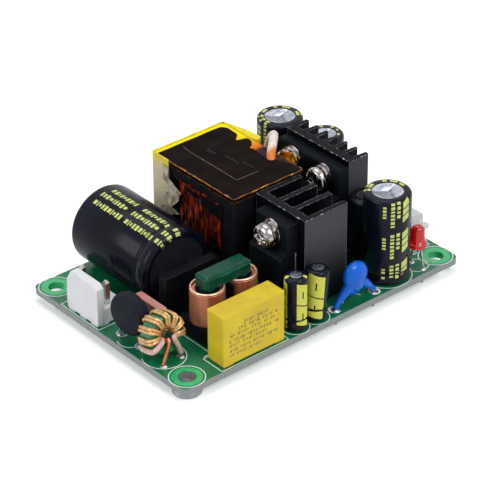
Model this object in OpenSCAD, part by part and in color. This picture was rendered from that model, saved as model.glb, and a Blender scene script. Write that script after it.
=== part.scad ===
// Open frame AC to DC power supply on one circuit board.
// Millimetres. Origin: centre of the four mounting holes, on the underside of the board.
// +X runs along the long side towards the output, +Y away from the X capacitor, +Z up.

/* [Board] */
// Length of the board
board_l = 76.2; // [76:0.1:100]
// Width of the board
board_w = 50.8; // [50:0.1:70]
// Thickness of the board
board_t = 1.6; // [1:0.1:2.4]
// Radius of the board corners
board_r = 1.2; // [0.4:0.1:3]
// Board edge to mounting hole centre
hole_inset = 3.5; // [3:0.1:5]
// Diameter of the mounting holes
hole_d = 3.6; // [3:0.1:4.2]
// Length of lead that stands out below the board
stub_l = 1.9; // [1.2:0.1:3]
// Play between a lead and its hole
lead_play = 0.12; // [0.05:0.01:0.2]
// Radius of a solder joint beyond its lead
solder_r = 0.6; // [0.3:0.05:0.8]
// Height of a solder joint
solder_h = 1.1; // [0.5:0.1:1.2]
// Outer diameter of the earth spacer under the front left hole
spacer_d = 6.2; // [5.4:0.1:7]

/* [Headers] */
// Contact pitch of the headers
pitch = 3.96; // [3:0.01:4.2]
// Side of a square header pin
pin_w = 1.14; // [0.8:0.02:1.3]
// Play between a pin and its housing
pin_play = 0.05; // [0.02:0.01:0.1]
// Height of the inlet housing base
base_h = 3.8; // [3:0.1:5]
// Depth of the inlet housing base
base_d = 6.2; // [5:0.1:7.5]
// Height of the inlet friction wall
wall_h = 9.9; // [7:0.1:11]
// Thickness of the inlet friction wall
wall_t = 0.9; // [0.8:0.1:1.2]
// Length of a pin above the inlet base
pin_rise = 5.4; // [4:0.1:7]
// Height of the output housing
out_h = 8.9; // [7:0.1:10]
// Depth of the output housing
out_d = 3.8; // [3:0.1:5]
// Height of the flat pins above the board
out_pin_z = 3.2; // [2.4:0.1:4.5]
// Length of a flat pin outside the output housing
out_pin_l = 3.6; // [2:0.1:5]

/* [Fuse and thermistor] */
// Length of the flat fuse
fuse_l = 8.5; // [7:0.1:8.9]
// Thickness of the flat fuse
fuse_t = 1.8; // [1.4:0.1:2]
// Height of the flat fuse
fuse_h = 6.6; // [5:0.1:7.4]
// Diameter of the thermistor disc
ntc_d = 9.5; // [8:0.1:10]
// Thickness of the thermistor disc
ntc_t = 3.2; // [2:0.1:4]
// Turn of the thermistor about the upright
ntc_yaw = 8; // [0:1:12]

/* [Toroid choke] */
// Outer diameter of the toroid core
tor_od = 8.3; // [7.6:0.1:8.8]
// Inner diameter of the toroid core
tor_id = 4.8; // [4.6:0.1:5.4]
// Thickness of the toroid core
tor_t = 3.6; // [3:0.1:4.2]
// Diameter of the winding wire
tor_wire = 0.6; // [0.4:0.05:0.6]
// Diameter of the sleeving on its first turn and second lead
tor_sleeve = 1.15; // [0.9:0.05:1.2]
// Number of turns
tor_turns = 15; // [7:1:15]
// Backward lean of the toroid
tor_lean = 10; // [0:1:14]

/* [Line choke] */
// Length of the top bar of the core
cmc_l = 12.2; // [11.4:0.1:13]
// Width of the core bars
cmc_w = 4.2; // [3.4:0.1:4.8]
// Thickness of the core bars
cmc_bar = 2.7; // [2:0.1:3.2]
// Diameter of a core leg
cmc_leg = 3.6; // [3:0.1:4.2]
// Outer diameter of a winding
cmc_od = 7.5; // [6.6:0.1:7.5]
// Height of a winding
cmc_h = 8; // [6:0.1:9]
// Wall of the bobbin tubes
cmc_wall = 0.55; // [0.4:0.05:0.7]
// Height of the bobbin base
cmc_base = 3.7; // [3.4:0.1:4.5]

/* [X capacitor] */
// Length of the X capacitor
xcap_l = 16.3; // [13:0.1:17.5]
// Thickness of the X capacitor
xcap_t = 5.4; // [4:0.1:5.8]
// Height of the X capacitor with its feet
xcap_h = 12.2; // [9:0.1:14]
// Height of the feet
xcap_foot = 0.5; // [0.3:0.1:1]
// Lead pitch
xcap_pitch = 12.5; // [8:0.5:13]

/* [Bridge rectifier] */
// Length of the bridge body
bridge_l = 14.1; // [12.4:0.1:15]
// Thickness of the bridge body
bridge_t = 2.2; // [1.8:0.1:2.8]
// Height of the bridge body
bridge_h = 9.6; // [8:0.1:11]
// Height of the body above the board
bridge_gap = 1.3; // [0.5:0.1:2.5]
// Lead pitch of the bridge
bridge_pitch = 3.6; // [3:0.1:3.9]

/* [Electrolytic capacitors] */
// Diameter of the bulk capacitor can
bulk_d = 17.4; // [16:0.1:18]
// Length of the bulk capacitor can
bulk_l = 25; // [20:0.1:25.4]
// Diameter of the large output cans
big_d = 10; // [8:0.1:10.2]
// Height of the large output cans
big_h = 20.2; // [16:0.1:22]
// Diameter of the small output can
mid_d = 8; // [6.3:0.1:8.4]
// Height of the small output can
mid_h = 16.2; // [12:0.1:18]
// Diameter of the primary side cans
small_d = 4.8; // [4:0.1:4.8]
// Height of the primary side cans
small_h = 12.2; // [9:0.1:14]
// Height of the second primary side can
short_h = 11.3; // [9:0.1:14]
// Thickness of the printed sleeve
sleeve_t = 0.12; // [0.08:0.01:0.2]
// Width of the sleeve lip on the can end
lip_w = 1; // [0.6:0.05:1.3]
// Lean of the second primary side can
small_lean = 4.5; // [0:0.5:5]

/* [Power devices] */
// Width of a device
dev_w = 9.8; // [9:0.1:10]
// Height of the device body
dev_h = 15.9; // [14:0.1:17]
// Height of the thin screw tab
dev_tab_h = 7; // [7:0.1:7.8]
// Thickness of the thin screw tab
dev_tab_t = 2.6; // [2.2:0.1:3]
// Thickness of the device body
dev_t = 4.6; // [4:0.1:5]
// Screw hole below the top of the tab
dev_hole = 3.2; // [3:0.1:3.6]
// Pitch of the device leads
dev_pitch = 2.54; // [2:0.02:2.7]
// Grease film between device and heatsink
grease = 0.05; // [0.02:0.01:0.1]
// Thread diameter of the device screws
screw_d = 3; // [2.5:0.1:3]
// Length of the screw shanks
screw_l = 6; // [5.6:0.1:6.6]
// Diameter of the screw heads
head_d = 5.6; // [5:0.1:6]
// Height of the screw heads
head_h = 2.2; // [1.8:0.1:2.6]
// Outer diameter of the flat washers
washer_d = 6.2; // [5.6:0.1:6.2]

/* [Heatsinks] */
// Height of both heatsinks above the board
sink_h = 21.8; // [20:0.1:24]
// Gap under the heatsinks
sink_gap = 0.3; // [0.2:0.1:0.8]
// Device top below the heatsink top
dev_drop = 1.4; // [0.6:0.1:2]
// Thickness of the primary mounting plate
psink_plate = 2; // [1.6:0.1:2.4]
// Depth of the primary heatsink
psink_d = 11.7; // [9:0.1:12.6]
// Width of the primary heatsink
psink_w = 15.2; // [14.5:0.1:15.6]
// Number of primary fins
psink_fins = 4; // [3:1:5]
// Thickness of a primary fin
psink_fin = 1.3; // [0.8:0.1:1.8]
// Thickness of the secondary mounting plate
ssink_plate = 2; // [1.6:0.1:2.4]
// Depth of the secondary heatsink
ssink_d = 5.7; // [4.5:0.1:6]
// Width of the secondary heatsink
ssink_w = 20; // [19.8:0.1:20.4]
// Number of secondary fins
ssink_fins = 7; // [5:1:8]
// Root thickness of a secondary fin
ssink_root = 1.3; // [1:0.1:1.6]
// Tip thickness of a secondary fin
ssink_tip = 0.7; // [0.5:0.1:0.9]

/* [Transformer] */
// Length of the core along the board width
core_l = 26.2; // [24:0.1:26.6]
// Width of the core
core_w = 19; // [17:0.1:19.4]
// Height of the core
core_h = 20; // [18:0.1:22]
// Thickness of the core plates
core_plate = 3.4; // [2.6:0.1:4]
// Diameter of the core post
post_d = 11.6; // [9:0.1:12]
// Distance between the outer legs
leg_gap = 21.6; // [20.5:0.1:22.4]
// Outer diameter of the winding
winding_d = 19.6; // [17:0.1:20]
// Wall of the bobbin
bobbin_wall = 0.8; // [0.6:0.05:1]
// Height of the core above the board
core_gap = 2.1; // [1.8:0.1:3]
// Thickness of the tape
tape_t = 0.1; // [0.06:0.01:0.3]
// Depth of the tape skirt round the core top
tape_skirt = 1; // [0.6:0.1:2.4]
// Width of the winding window in the core sides
window_w = 18.2; // [14:0.1:19]
// Bulge of the tape wrap beyond the core side
wrap_bulge = 1.9; // [1:0.1:2.7]
// Outer diameter of the sleeved lead
flylead_d = 2.4; // [1.6:0.1:2.6]

/* [Small parts] */
// Diameter of the blue disc capacitor
ycap_d = 6.4; // [5.4:0.1:7]
// Thickness of the blue disc capacitor
ycap_t = 3.4; // [2.6:0.1:3.6]
// Lead pitch of the blue disc capacitor
ycap_pitch = 10.6; // [7.5:0.1:11]
// Height of the disc centre above the board
ycap_z = 6.5; // [5.4:0.1:7.4]
// Diameter of the drum choke in its shrink tube
drum_d = 7.6; // [6:0.1:7.8]
// Height of the drum choke
drum_h = 14.6; // [10:0.1:16]
// Diameter of the lamp
lamp_d = 3; // [2.5:0.1:3.4]
// Height of the lamp with its flange
lamp_h = 5.2; // [4.4:0.1:6]
// Height of the lamp above the board
lamp_z = 5; // [3:0.1:6]

/* [Hidden] */

$fn = 48;
eps = 0.01;
fit = 0.02;                       // film between parts that touch on round faces
lead_d = 0.6;                     // thin round lead
stout_lead = 0.8;                 // thick round lead
peg_d = 0.7;                      // bobbin pin
cut = 1;                          // run-out of a cut beyond its face

left = -board_l / 2;
right = board_l / 2;
front = -board_w / 2;
top = board_t;
hole_x = board_l / 2 - hole_inset;
hole_y = board_w / 2 - hole_inset;

// Places: "in" runs from the left or right edge of the board, "up" from its front edge

// inlet and output headers
inlet_in = 4.4;                   // row of inlet pins
inlet_up = 34.8;
inlet_lip = 2.9;                  // row of pins to the outer face of the base
foot_h = 0.4;                     // stand-off feet under the housing
foot_w = 2;
out_in = 3;                       // outer face of the output housing
out_up = 14.2;
out_leg_gap = 0.4;
inlet_x = left + inlet_in;
inlet_y = front + inlet_up;
inlet_l = 3 * pitch - 0.1;
base_front = inlet_x - inlet_lip;
out_x = right - out_in;
out_y = front + out_up;
out_l = 3 * pitch + 0.1;
out_leg_x = out_x - out_d - pin_w / 2 - out_leg_gap;

// bulk capacitor, with its seal towards the bridge
bulk_in = 18.7;
bulk_up = 25.3;                   // its near end
bulk_pitch = 7.5;
bulk_turn = 1.5;                  // seal to the point where its leads turn down
bulk_x = left + bulk_in;
bulk_near = front + bulk_up;
bulk_z = top + 0.05 + bulk_d / 2 + sleeve_t + fit;
bulk_drop_y = bulk_near - bulk_turn;

// fuse, thermistor, toroid
fuse_in = 8.9;
fuse_pitch = 5.08;
ntc_in = 3.2;
ntc_up = 21.2;
ntc_rise = 1.7;                   // lowest point of the disc above the board
ntc_pitch = 6.2;
tor_in = 4.6;
tor_up = 12.8;
tor_seat = 0.35;                  // lowest turn above the board
tor_play = 0.12;                  // turns clear of the core
tor_from = 213;                   // angle of the first turn round the ring
tor_span = 234;
tor_pair = 3.4;                   // sway that draws the turns together in pairs
tor_layer = 0.45;                 // every second turn lies deeper in the hole
fuse_x = left + fuse_in;
fuse_y = bulk_near + 0.6 - fuse_l / 2;
ntc_x = left + ntc_in;
ntc_y = front + ntc_up;
ntc_z = top + ntc_rise + ntc_d / 2;
tor_x = left + tor_in;
tor_y = front + tor_up;
tor_z = top + tor_seat + tor_wire + tor_od / 2 * cos(tor_lean) + tor_t / 2 * sin(tor_lean);
tor_pads = [[tor_x - 2.2, tor_y - 3.3], [tor_x + 2.6, tor_y - 2.9]];

// line choke
cmc_in = 20.95;
cmc_base_w = 9;
cmc_foot = 0.3;
cmc_fin = 0.4;                    // wall between the two windings
cmc_fin_w = 6.4;
cmc_slack = 0.5;                  // height that the winding leaves free
cmc_peg_x = 5;
cmc_peg_y = 3.5;
cmc_x = left + cmc_in;
cmc_y = tor_y;
leg_x = (cmc_l - cmc_leg) / 2;          // choke legs sit flush with the bar ends
cmc_base_l = 2 * leg_x + cmc_od;
cmc_core_z = top + cmc_foot + 0.7;      // underside of the core
cmc_wind_z = top + cmc_base;            // underside of the windings
cmc_tube = cmc_leg / 2 + 0.08;          // bore radius of the bobbin tubes
cmc_pins = [for (i = [-1, 1], j = [-1, 1]) [cmc_x + i * cmc_peg_x, cmc_y + j * cmc_peg_y]];

// X capacitor, bridge
xcap_in = 18.85;
xcap_up = 0.5;                    // its front face
bridge_in = 19.15;
bridge_back = 2.4;                // its rear face to the bulk capacitor
bridge_bevel = 0.4;
xcap_x = left + xcap_in;
xcap_y = front + xcap_up + xcap_t / 2;
bridge_x = left + bridge_in;
bridge_y = bulk_near - bridge_back - bridge_t / 2;

// upright electrolytics: [x, y, can diameter, can height, lean, lead pitch, lead diameter]
front_cap_in = 16.6;
front_cap_up = 5.3;
rear_cap_in = 12.4;
rear_cap_up = 44.4;
side_cap_in = 5.3;
side_cap_up = 37.3;
first_cap_in = 31.8;
second_cap_in = 37;
small_cap_up = 2.75;
big_pitch = 5;
mid_pitch = 3.5;
small_pitch = 2;
small_lead = 0.5;
FRONT_CAP = [right - front_cap_in, front + front_cap_up, big_d, big_h, 0, big_pitch, lead_d];
REAR_CAP = [right - rear_cap_in, front + rear_cap_up, big_d, big_h, 0, big_pitch, lead_d];
SIDE_CAP = [right - side_cap_in, front + side_cap_up, mid_d, mid_h, 0, mid_pitch, lead_d];
FIRST_CAP = [left + first_cap_in, front + small_cap_up, small_d, small_h, 0, small_pitch,
    small_lead];
SECOND_CAP = [left + second_cap_in, front + small_cap_up, small_d, short_h, small_lean,
    small_pitch, small_lead];
UPRIGHT = [FRONT_CAP, REAR_CAP, SIDE_CAP, FIRST_CAP, SECOND_CAP];
cap_foot = 0.3;                   // sleeve end above the board
mouth = 1.4;                      // depth of the can mouth that holds the seal

// heatsinks and devices
psink_in = 37;                    // mounting face of the primary heatsink
psink_up = 5.9;
ssink_in = 16;                    // mounting face of the secondary heatsink
ssink_up = 27.9;                  // its middle
pdev_up = 7.2;                    // middle of the switch from the heatsink's front
sdev_gap = 0.1;                   // gap between the two rectifiers
screw_play = 0.2;
washer_t = 0.5;
spring_t = 0.9;
spring_d = 5.8;
sink_pin_d = 1.4;
sink_pin_l = 3.2;                 // length of a pin inside the heatsink
sink_pin_in = 2.2;                // pin to the end of the heatsink
dev_lead_w = 0.8;
dev_lead_t = 0.5;
dev_lead_wide = 1.2;              // upper part of a lead
dev_lead_x = 2.4;                 // lead row in front of the mounting face
psink_x = left + psink_in;
psink_front = front + psink_up;
ssink_x = right - ssink_in;
ssink_y = front + ssink_up;
sink_top = top + sink_h;
dev_top = sink_top - dev_drop;
screw_z = dev_top - dev_hole;
DEVICES = [[psink_x, psink_front + pdev_up], [ssink_x, ssink_y - (dev_w + sdev_gap) / 2],
    [ssink_x, ssink_y + (dev_w + sdev_gap) / 2]];
SINK_PINS = [[psink_x + psink_plate / 2, psink_front + sink_pin_in],
    [psink_x + psink_plate / 2, psink_front + psink_w - sink_pin_in],
    [ssink_x + ssink_plate / 2, ssink_y - ssink_w / 2 + sink_pin_in],
    [ssink_x + ssink_plate / 2, ssink_y + ssink_w / 2 - sink_pin_in]];

// transformer, behind the primary heatsink
tr_off = 3.85;                    // its middle from the mounting face of that heatsink
tr_gap = 0.6;                     // core to that heatsink
bob_play = 0.15;
flange_lip = 0.5;                 // bobbin flange beyond the winding
rail_off = 1.3;                   // middle of a pin rail beyond the core
rail_w = 2.4;
rail_l = 18;
tr_pitch = 3.8;
wrap_t = 0.18;
wrap_side = 5.2;                  // reach of the wrap along the core sides
wrap_low = 3.2;                   // lower edge of the wrap above the core plate
wrap_near = 2.9;                  // near end of the bulge from the middle
wrap_rise = 0.4;                  // upper edge above the core
bare_d = 0.9;                     // bare end of the sleeved lead
tr_x = psink_x + tr_off;
tr_y = psink_front + psink_w + tr_gap + core_l / 2;
core_z = top + core_gap;
core_top = core_z + core_h;
window_h = core_h - 2 * core_plate;
flange_d = winding_d + 2 * flange_lip;
wrap_off = tape_t + 3 * fit;      // wrap lies over the skirt of the top tape
TR_PINS = [for (s = [-1, 1], i = [-2:2])
    [tr_x + s * (core_w / 2 + rail_off + 0.3), tr_y + i * tr_pitch]];
LEAD_ROUTE = [for (p = [[11.65, 0.8, 13], [11.65, 0.9, 17], [11.85, 1, 20], [12.75, 1, 22.3],
    [14.05, 1.2, 23.5], [14.85, 2.8, 23.5], [15.35, 4.5, 22.2], [15.35, 5.4, 19.5],
    [15.25, 5.6, 14], [15.25, 5.6, top + 0.3]]) [tr_x + p.x, tr_y + p.y, p.z]];

// blue capacitor, drum choke, lamp, chips
ycap_in = 47.6;
ycap_up = 1.9;
ycap_lead = 0.5;
ycap_coat = 1.5;
drum_turn = 14.7;                 // angle of the drum choke round the front output can
drum_gap = 0.25;
drum_pitch = 5;
lamp_in = 9.2;
lamp_up = 3.4;
lamp_pitch = 2.54;
lamp_foot = 3.6;                  // lead pitch at the board
lamp_lead = 0.5;
opto_in = 22.9;
opto_up = 14.8;
opto_row = 3.81;                  // row of legs from the middle
opto_pitch = 2.54;
opto_w = 4.6;
opto_h = 3.3;
chip_pitch = 1.27;
chip_w = 4.9;
ycap_x = left + ycap_in;
ycap_y = front + ycap_up;
drum_reach = (big_d + drum_d) / 2 + drum_gap;
drum_x = FRONT_CAP.x + drum_reach * sin(drum_turn);
drum_y = FRONT_CAP.y + drum_reach * cos(drum_turn);
lamp_x = right - lamp_in;
lamp_y = front + lamp_up;
opto_x = right - opto_in;
opto_y = front + opto_up;
chip_x = tr_x;                    // under the transformer, between its pins
chip_y = tr_y;

// every lead through the board: [x, y, diameter]
function pair(x, y, p, d) = [for (s = [-1, 1]) [x + s * p / 2, y, d]];
inlet_leads = [for (s = [-1, 1]) [inlet_x, inlet_y + s * pitch, pin_w * sqrt(2)]];
output_leads = [for (s = [-1:1]) [out_leg_x, out_y + s * pitch, pin_w * sqrt(2)]];
fuse_leads = [for (s = [-1, 1]) [fuse_x, fuse_y + s * fuse_pitch / 2, lead_d]];
ntc_leads = [for (s = [-1, 1]) [ntc_x - s * sin(ntc_yaw) * ntc_pitch / 2,
    ntc_y + s * cos(ntc_yaw) * ntc_pitch / 2, peg_d]];
toroid_leads = [for (p = tor_pads) [p.x, p.y, tor_wire]];
choke_leads = [for (p = cmc_pins) [p.x, p.y, peg_d]];
bridge_leads = [for (i = [0:3])
    [bridge_x + (i - 1.5) * bridge_pitch, bridge_y, stout_lead]];
bulk_leads = pair(bulk_x, bulk_drop_y, bulk_pitch, stout_lead);
upright_leads = [for (c = UPRIGHT) each pair(c.x, c.y, c[5], c[6])];
device_legs = [for (d = DEVICES, i = [-1:1])
    [d.x - dev_lead_x, d.y + i * dev_pitch, norm([dev_lead_w, dev_lead_t]) + fit]];
xcap_leads = pair(xcap_x, xcap_y, xcap_pitch, stout_lead);
drum_leads = pair(drum_x, drum_y, drum_pitch, stout_lead);
other_leads = concat(xcap_leads, drum_leads,
    pair(ycap_x, ycap_y, ycap_pitch, ycap_lead),
    [for (s = [-1, 1]) [lamp_x, lamp_y + s * lamp_foot / 2, lamp_lead]],
    [for (s = [-1, 1], i = [-1, 1])
        [opto_x + s * opto_row, opto_y + i * opto_pitch / 2, lead_d]],
    [for (p = TR_PINS) [p.x, p.y, peg_d]],
    [for (p = SINK_PINS) [p.x, p.y, sink_pin_d]],
    [[LEAD_ROUTE[9].x, LEAD_ROUTE[9].y, bare_d]]);
LEADS = concat(inlet_leads, output_leads, fuse_leads, ntc_leads, toroid_leads,
    choke_leads, bridge_leads, bulk_leads, upright_leads, device_legs, other_leads);

// ---------- shared shapes ----------

// Rectangle with round corners, centred
module round_rect(l, w, r) {
    square([l - 2 * r, w], center = true);
    square([l, w - 2 * r], center = true);
    for (i = [-1, 1], j = [-1, 1])
        translate([i * (l / 2 - r), j * (w / 2 - r)]) circle(r);
}

// Points of an arc about c, from angle a to angle b
function arc(c, r, a, b, n = 6) =
    [for (i = [0:n]) c + r * [cos(a + (b - a) * i / n), sin(a + (b - a) * i / n)]];

// Straight wire at p from the lead end below the board up to height z
module wire(p, z) {
    translate([p.x, p.y, -stub_l]) cylinder(d = p[2], h = z + stub_l, $fn = 24);
}

// Square pin from z0 to z1 with a bevelled tip
module square_pin(x, y, z0, z1) {
    translate([x, y, z0]) {
        translate([-pin_w / 2, -pin_w / 2, 0]) cube([pin_w, pin_w, z1 - z0 - 0.5]);
        translate([0, 0, z1 - z0 - 0.5]) rotate(45)
            cylinder(d1 = pin_w * sqrt(2), d2 = pin_w * 0.7, h = 0.5, $fn = 4);
    }
}

// Closed tube swept along a path with a width at each point. Its frame is carried from
// ring to ring
function unit(v) = v / norm(v);
function tangent(p, i) = unit(p[min(i + 1, len(p) - 1)] - p[max(i - 1, 0)]);
function carried(p, n0) = [for (i = 0, n = n0; i < len(p);
    i = i + 1, n = i < len(p) ? unit(n - (n * tangent(p, i)) * tangent(p, i)) : n) n];
module tube(path, widths, sides, start = [0, 0, 1]) {
    t0 = tangent(path, 0);
    normals = carried(path, unit(start - (start * t0) * t0));
    rings = len(path);
    points = [for (i = [0:rings - 1], k = [0:sides - 1])
        let (n = normals[i], b = cross(tangent(path, i), n), a = 360 * k / sides)
        path[i] + widths[i] / 2 * (cos(a) * n + sin(a) * b)];
    walls = [for (i = [0:rings - 2], k = [0:sides - 1])
        [i * sides + k, (i + 1) * sides + k, (i + 1) * sides + (k + 1) % sides,
            i * sides + (k + 1) % sides]];
    polyhedron(points, concat(walls, [[for (k = [0:sides - 1]) k]],
        [[for (k = [sides - 1:-1:0]) (rings - 1) * sides + k]]), convexity = 10);
}

// Smooth path through chosen points
function blend(a, b, c, d, t) = 0.5 * (2 * b + (c - a) * t + (2 * a - 5 * b + 4 * c - d) * t * t
    + (3 * b - a - 3 * c + d) * t * t * t);
function smooth(p, n) = concat([for (i = [0:len(p) - 2], k = [0:n - 1])
    blend(p[max(i - 1, 0)], p[i], p[i + 1], p[min(i + 2, len(p) - 1)], k / n)],
    [p[len(p) - 1]]);

// ---------- board ----------

module circuit_board() {
    color("green") difference() {
        linear_extrude(board_t) round_rect(board_l, board_w, board_r);
        for (i = [-1, 1], j = [-1, 1])
            translate([i * hole_x, j * hole_y, -1]) cylinder(d = hole_d, h = board_t + 2);
        for (p = LEADS)
            translate([p.x, p.y, -1])
                cylinder(d = p[2] + 2 * lead_play, h = board_t + 2, $fn = 24);
    }
}

// Press-in metal spacer whose collar hangs below the front left hole
module earth_spacer() {
    color("silver") translate([-hole_x, -hole_y, -stub_l]) difference() {
        union() {
            cylinder(d1 = spacer_d - 0.5, d2 = spacer_d, h = 0.25);
            translate([0, 0, 0.25]) cylinder(d = spacer_d, h = stub_l - 0.25);
        }
        translate([0, 0, -1]) cylinder(d = hole_d, h = stub_l + 2);
    }
}

// A fillet of solder round each lead on the underside
module solder_joints() {
    color("silver") for (p = LEADS)
        translate([p.x, p.y, -solder_h]) difference() {
            cylinder(r1 = p[2] / 2 + solder_r * 0.45, r2 = p[2] / 2 + solder_r, h = solder_h,
                $fn = 24);
            translate([0, 0, -1]) cylinder(d = p[2] + 2 * fit, h = solder_h + 2, $fn = 24);
        }
}

// ---------- headers ----------

// Inlet housing: a base with pin holes and a notched friction wall on the board edge side
module inlet_header() {
    color("ivory") difference() {
        union() {
            translate([base_front, inlet_y - inlet_l / 2, top + foot_h])
                cube([base_d, inlet_l, base_h - foot_h]);
            for (j = [-1, 0, 1], i = [0, 1])
                translate([base_front + i * (base_d - foot_w),
                    inlet_y + j * (inlet_l - foot_w) / 2 - foot_w / 2, top])
                    cube([foot_w, foot_w, foot_h + eps]);
            inlet_wall();
        }
        for (p = inlet_leads)
            translate([p.x - pin_w / 2 - pin_play, p.y - pin_w / 2 - pin_play, top - 1])
                cube([pin_w + 2 * pin_play, pin_w + 2 * pin_play, base_h + 2]);
        for (p = inlet_leads)
            translate([base_front + base_d - 1, p.y - 0.9, top + 1.6]) cube([2, 1.8, base_h]);
    }
}

module inlet_wall() {
    span = inlet_l - 1.5;
    mid = inlet_y - 0.7;
    translate([base_front + 0.9, mid, top + foot_h]) rotate([90, 0, -90])
        linear_extrude(wall_t + 0.9) polygon([[-span / 2, 0], [span / 2, 0],
            [span / 2, wall_h - foot_h - 0.9], [span / 2 - 0.9, wall_h - foot_h],
            [-span / 2 + 1.6, wall_h - foot_h], [-span / 2, wall_h - foot_h - 2.6]]);
    for (j = [-1, 0, 1])
        translate([base_front - wall_t, mid + j * (span / 2 - 1.4) - 1, top])
            cube([wall_t, foot_w, foot_h + eps]);
}

module inlet_pins() {
    color("silver") for (p = inlet_leads)
        square_pin(p.x, p.y, -stub_l, top + base_h + pin_rise);
}

// Output housing: right-angle block with a hood over the flat pins
module output_header() {
    color("whitesmoke") difference() {
        translate([0, out_y + out_l / 2, top]) rotate([90, 0, 0]) linear_extrude(out_l)
            polygon(concat([[out_x - out_d, 0], [out_x + 1.6, 0], [out_x + 1.6, 1.2],
                [out_x, 1.6], [out_x, out_h - 2.4]],
                arc([out_x - 1.2, out_h - 1.2], 1.2, 0, 90), [[out_x - out_d, out_h]]));
        for (p = output_leads)
            translate([out_x - out_d - 1, p.y - pin_w / 2 - pin_play,
                top + out_pin_z - pin_w / 2 - pin_play])
                cube([out_d + 2, pin_w + 2 * pin_play, pin_w + 2 * pin_play]);
    }
}

module output_pins() {
    z = top + out_pin_z;
    color("silver") for (p = output_leads) {
        translate([p.x - pin_w / 2, p.y - pin_w / 2, -stub_l])
            cube([pin_w, pin_w, z + pin_w / 2 + stub_l]);
        translate([p.x, p.y - pin_w / 2, z - pin_w / 2])
            cube([out_x + out_pin_l - 0.5 - p.x, pin_w, pin_w]);
        translate([out_x + out_pin_l - 0.5, p.y, z]) rotate([0, 90, 0]) rotate(45)
            cylinder(d1 = pin_w * sqrt(2), d2 = pin_w * 0.7, h = 0.5, $fn = 4);
    }
}

// ---------- fuse and thermistor ----------

// Flat moulded fuse on two short leads
module flat_fuse() {
    color("rosybrown") {
        translate([fuse_x, fuse_y, top + 0.2]) difference() {
            linear_extrude(fuse_h) round_rect(fuse_t, fuse_l, 0.3);
            translate([-fuse_t, -1.2, -1]) cube([2 * fuse_t, 2.4, 1.4]);
        }
        for (p = fuse_leads) wire(p, top + 1);
    }
}

// Coated disc with a domed face on each side
module thermistor() {
    h = ntc_t / 2;
    r = ntc_d / 2;
    color("dimgray") translate([ntc_x, ntc_y, ntc_z]) rotate([0, 0, ntc_yaw]) difference() {
        rotate([0, 90, 0]) rotate_extrude()
            polygon(concat([[0, -h]], arc([r - 1.1, -h + 1.1], 1.1, -90, 0),
                arc([r - 1.1, h - 1.1], 1.1, 0, 90), [[0, h]]));
        for (s = [-1, 1])
            translate([0, s * ntc_pitch / 2, -r - 1])
                cylinder(d = peg_d + 2 * fit, h = r * 0.7 + 1, $fn = 24);
    }
}

module thermistor_leads() {
    color("silver") for (p = ntc_leads) wire(p, ntc_z - ntc_d * 0.16);
}

// ---------- toroid choke ----------

module toroid_frame() {
    translate([tor_x, tor_y, tor_z]) rotate([90 - tor_lean, 0, 0]) children();
}

module toroid_core() {
    r0 = tor_id / 2;
    r1 = tor_od / 2;
    h = tor_t / 2;
    e = 0.5;
    color("seagreen") toroid_frame() rotate_extrude()
        polygon(concat(arc([r0 + e, -h + e], e, 180, 270, 4), arc([r1 - e, -h + e], e, 270, 360, 4),
            arc([r1 - e, h - e], e, 0, 90, 4), arc([r0 + e, h - e], e, 90, 180, 4)));
}

// One wire wound round the ring. It starts in the middle, comes out at the front to its pad,
// and its first turn and second lead wear a sleeve
function to_world(p) = let (a = 90 - tor_lean)
    [tor_x + p.x, tor_y + p.y * cos(a) - p.z * sin(a), tor_z + p.y * sin(a) + p.z * cos(a)];
function squared(v, k) = sign(v) * pow(abs(v), k);
function turn_point(s, w) =
    let (mid = (tor_od + tor_id) / 4, th = (360 * tor_turns - 60) * s, c = cos(th),
        a = (tor_od - tor_id) / 4 + w / 2 + tor_play
            + tor_layer * (1 - cos(th / 2)) / 2 * max(0, c),
        b = tor_t / 2 + w / 2 + tor_play, r = mid - a * squared(c, 0.55),
        phi = tor_from - tor_span * s + 20 * pow(max(0, 1 - th / 180), 2)
            + tor_pair * sin(th / 2))
    [r * cos(phi), r * sin(phi), -b * squared(sin(th), 0.55)];
module toroid_winding() {
    steps = 12;
    n = tor_turns * steps;
    sleeved = steps - 1;
    function width(i) = i < sleeved ? tor_sleeve : tor_wire;
    turns = [for (i = [1:n]) to_world(turn_point(i / n, width(i)))];
    p = tor_pads;
    start = to_world([-0.5, -0.4, tor_t / 2 + 0.9]);
    finish = to_world([0.6, -0.3, tor_t / 2 + 1.5]);
    path = concat(
        [[p[0].x, p[0].y, -stub_l], [p[0].x, p[0].y, top + 0.5],
            (start + [p[0].x, p[0].y, top + 1.5]) / 2 + [0.2, -0.3, 0], start],
        turns,
        [finish, (finish + [p[1].x, p[1].y, top + 1.2]) / 2, [p[1].x, p[1].y, top + 1],
            [p[1].x, p[1].y, top + 0.4], [p[1].x, p[1].y, -stub_l]]);
    widths = concat([tor_wire, tor_wire, tor_wire, tor_wire], [for (i = [1:n]) width(i)],
        [tor_sleeve, tor_sleeve, tor_sleeve, tor_wire, tor_wire]);
    color("goldenrod") tube(path, widths, 8, [1, 0, 0]);
}

// ---------- line choke ----------

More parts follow.
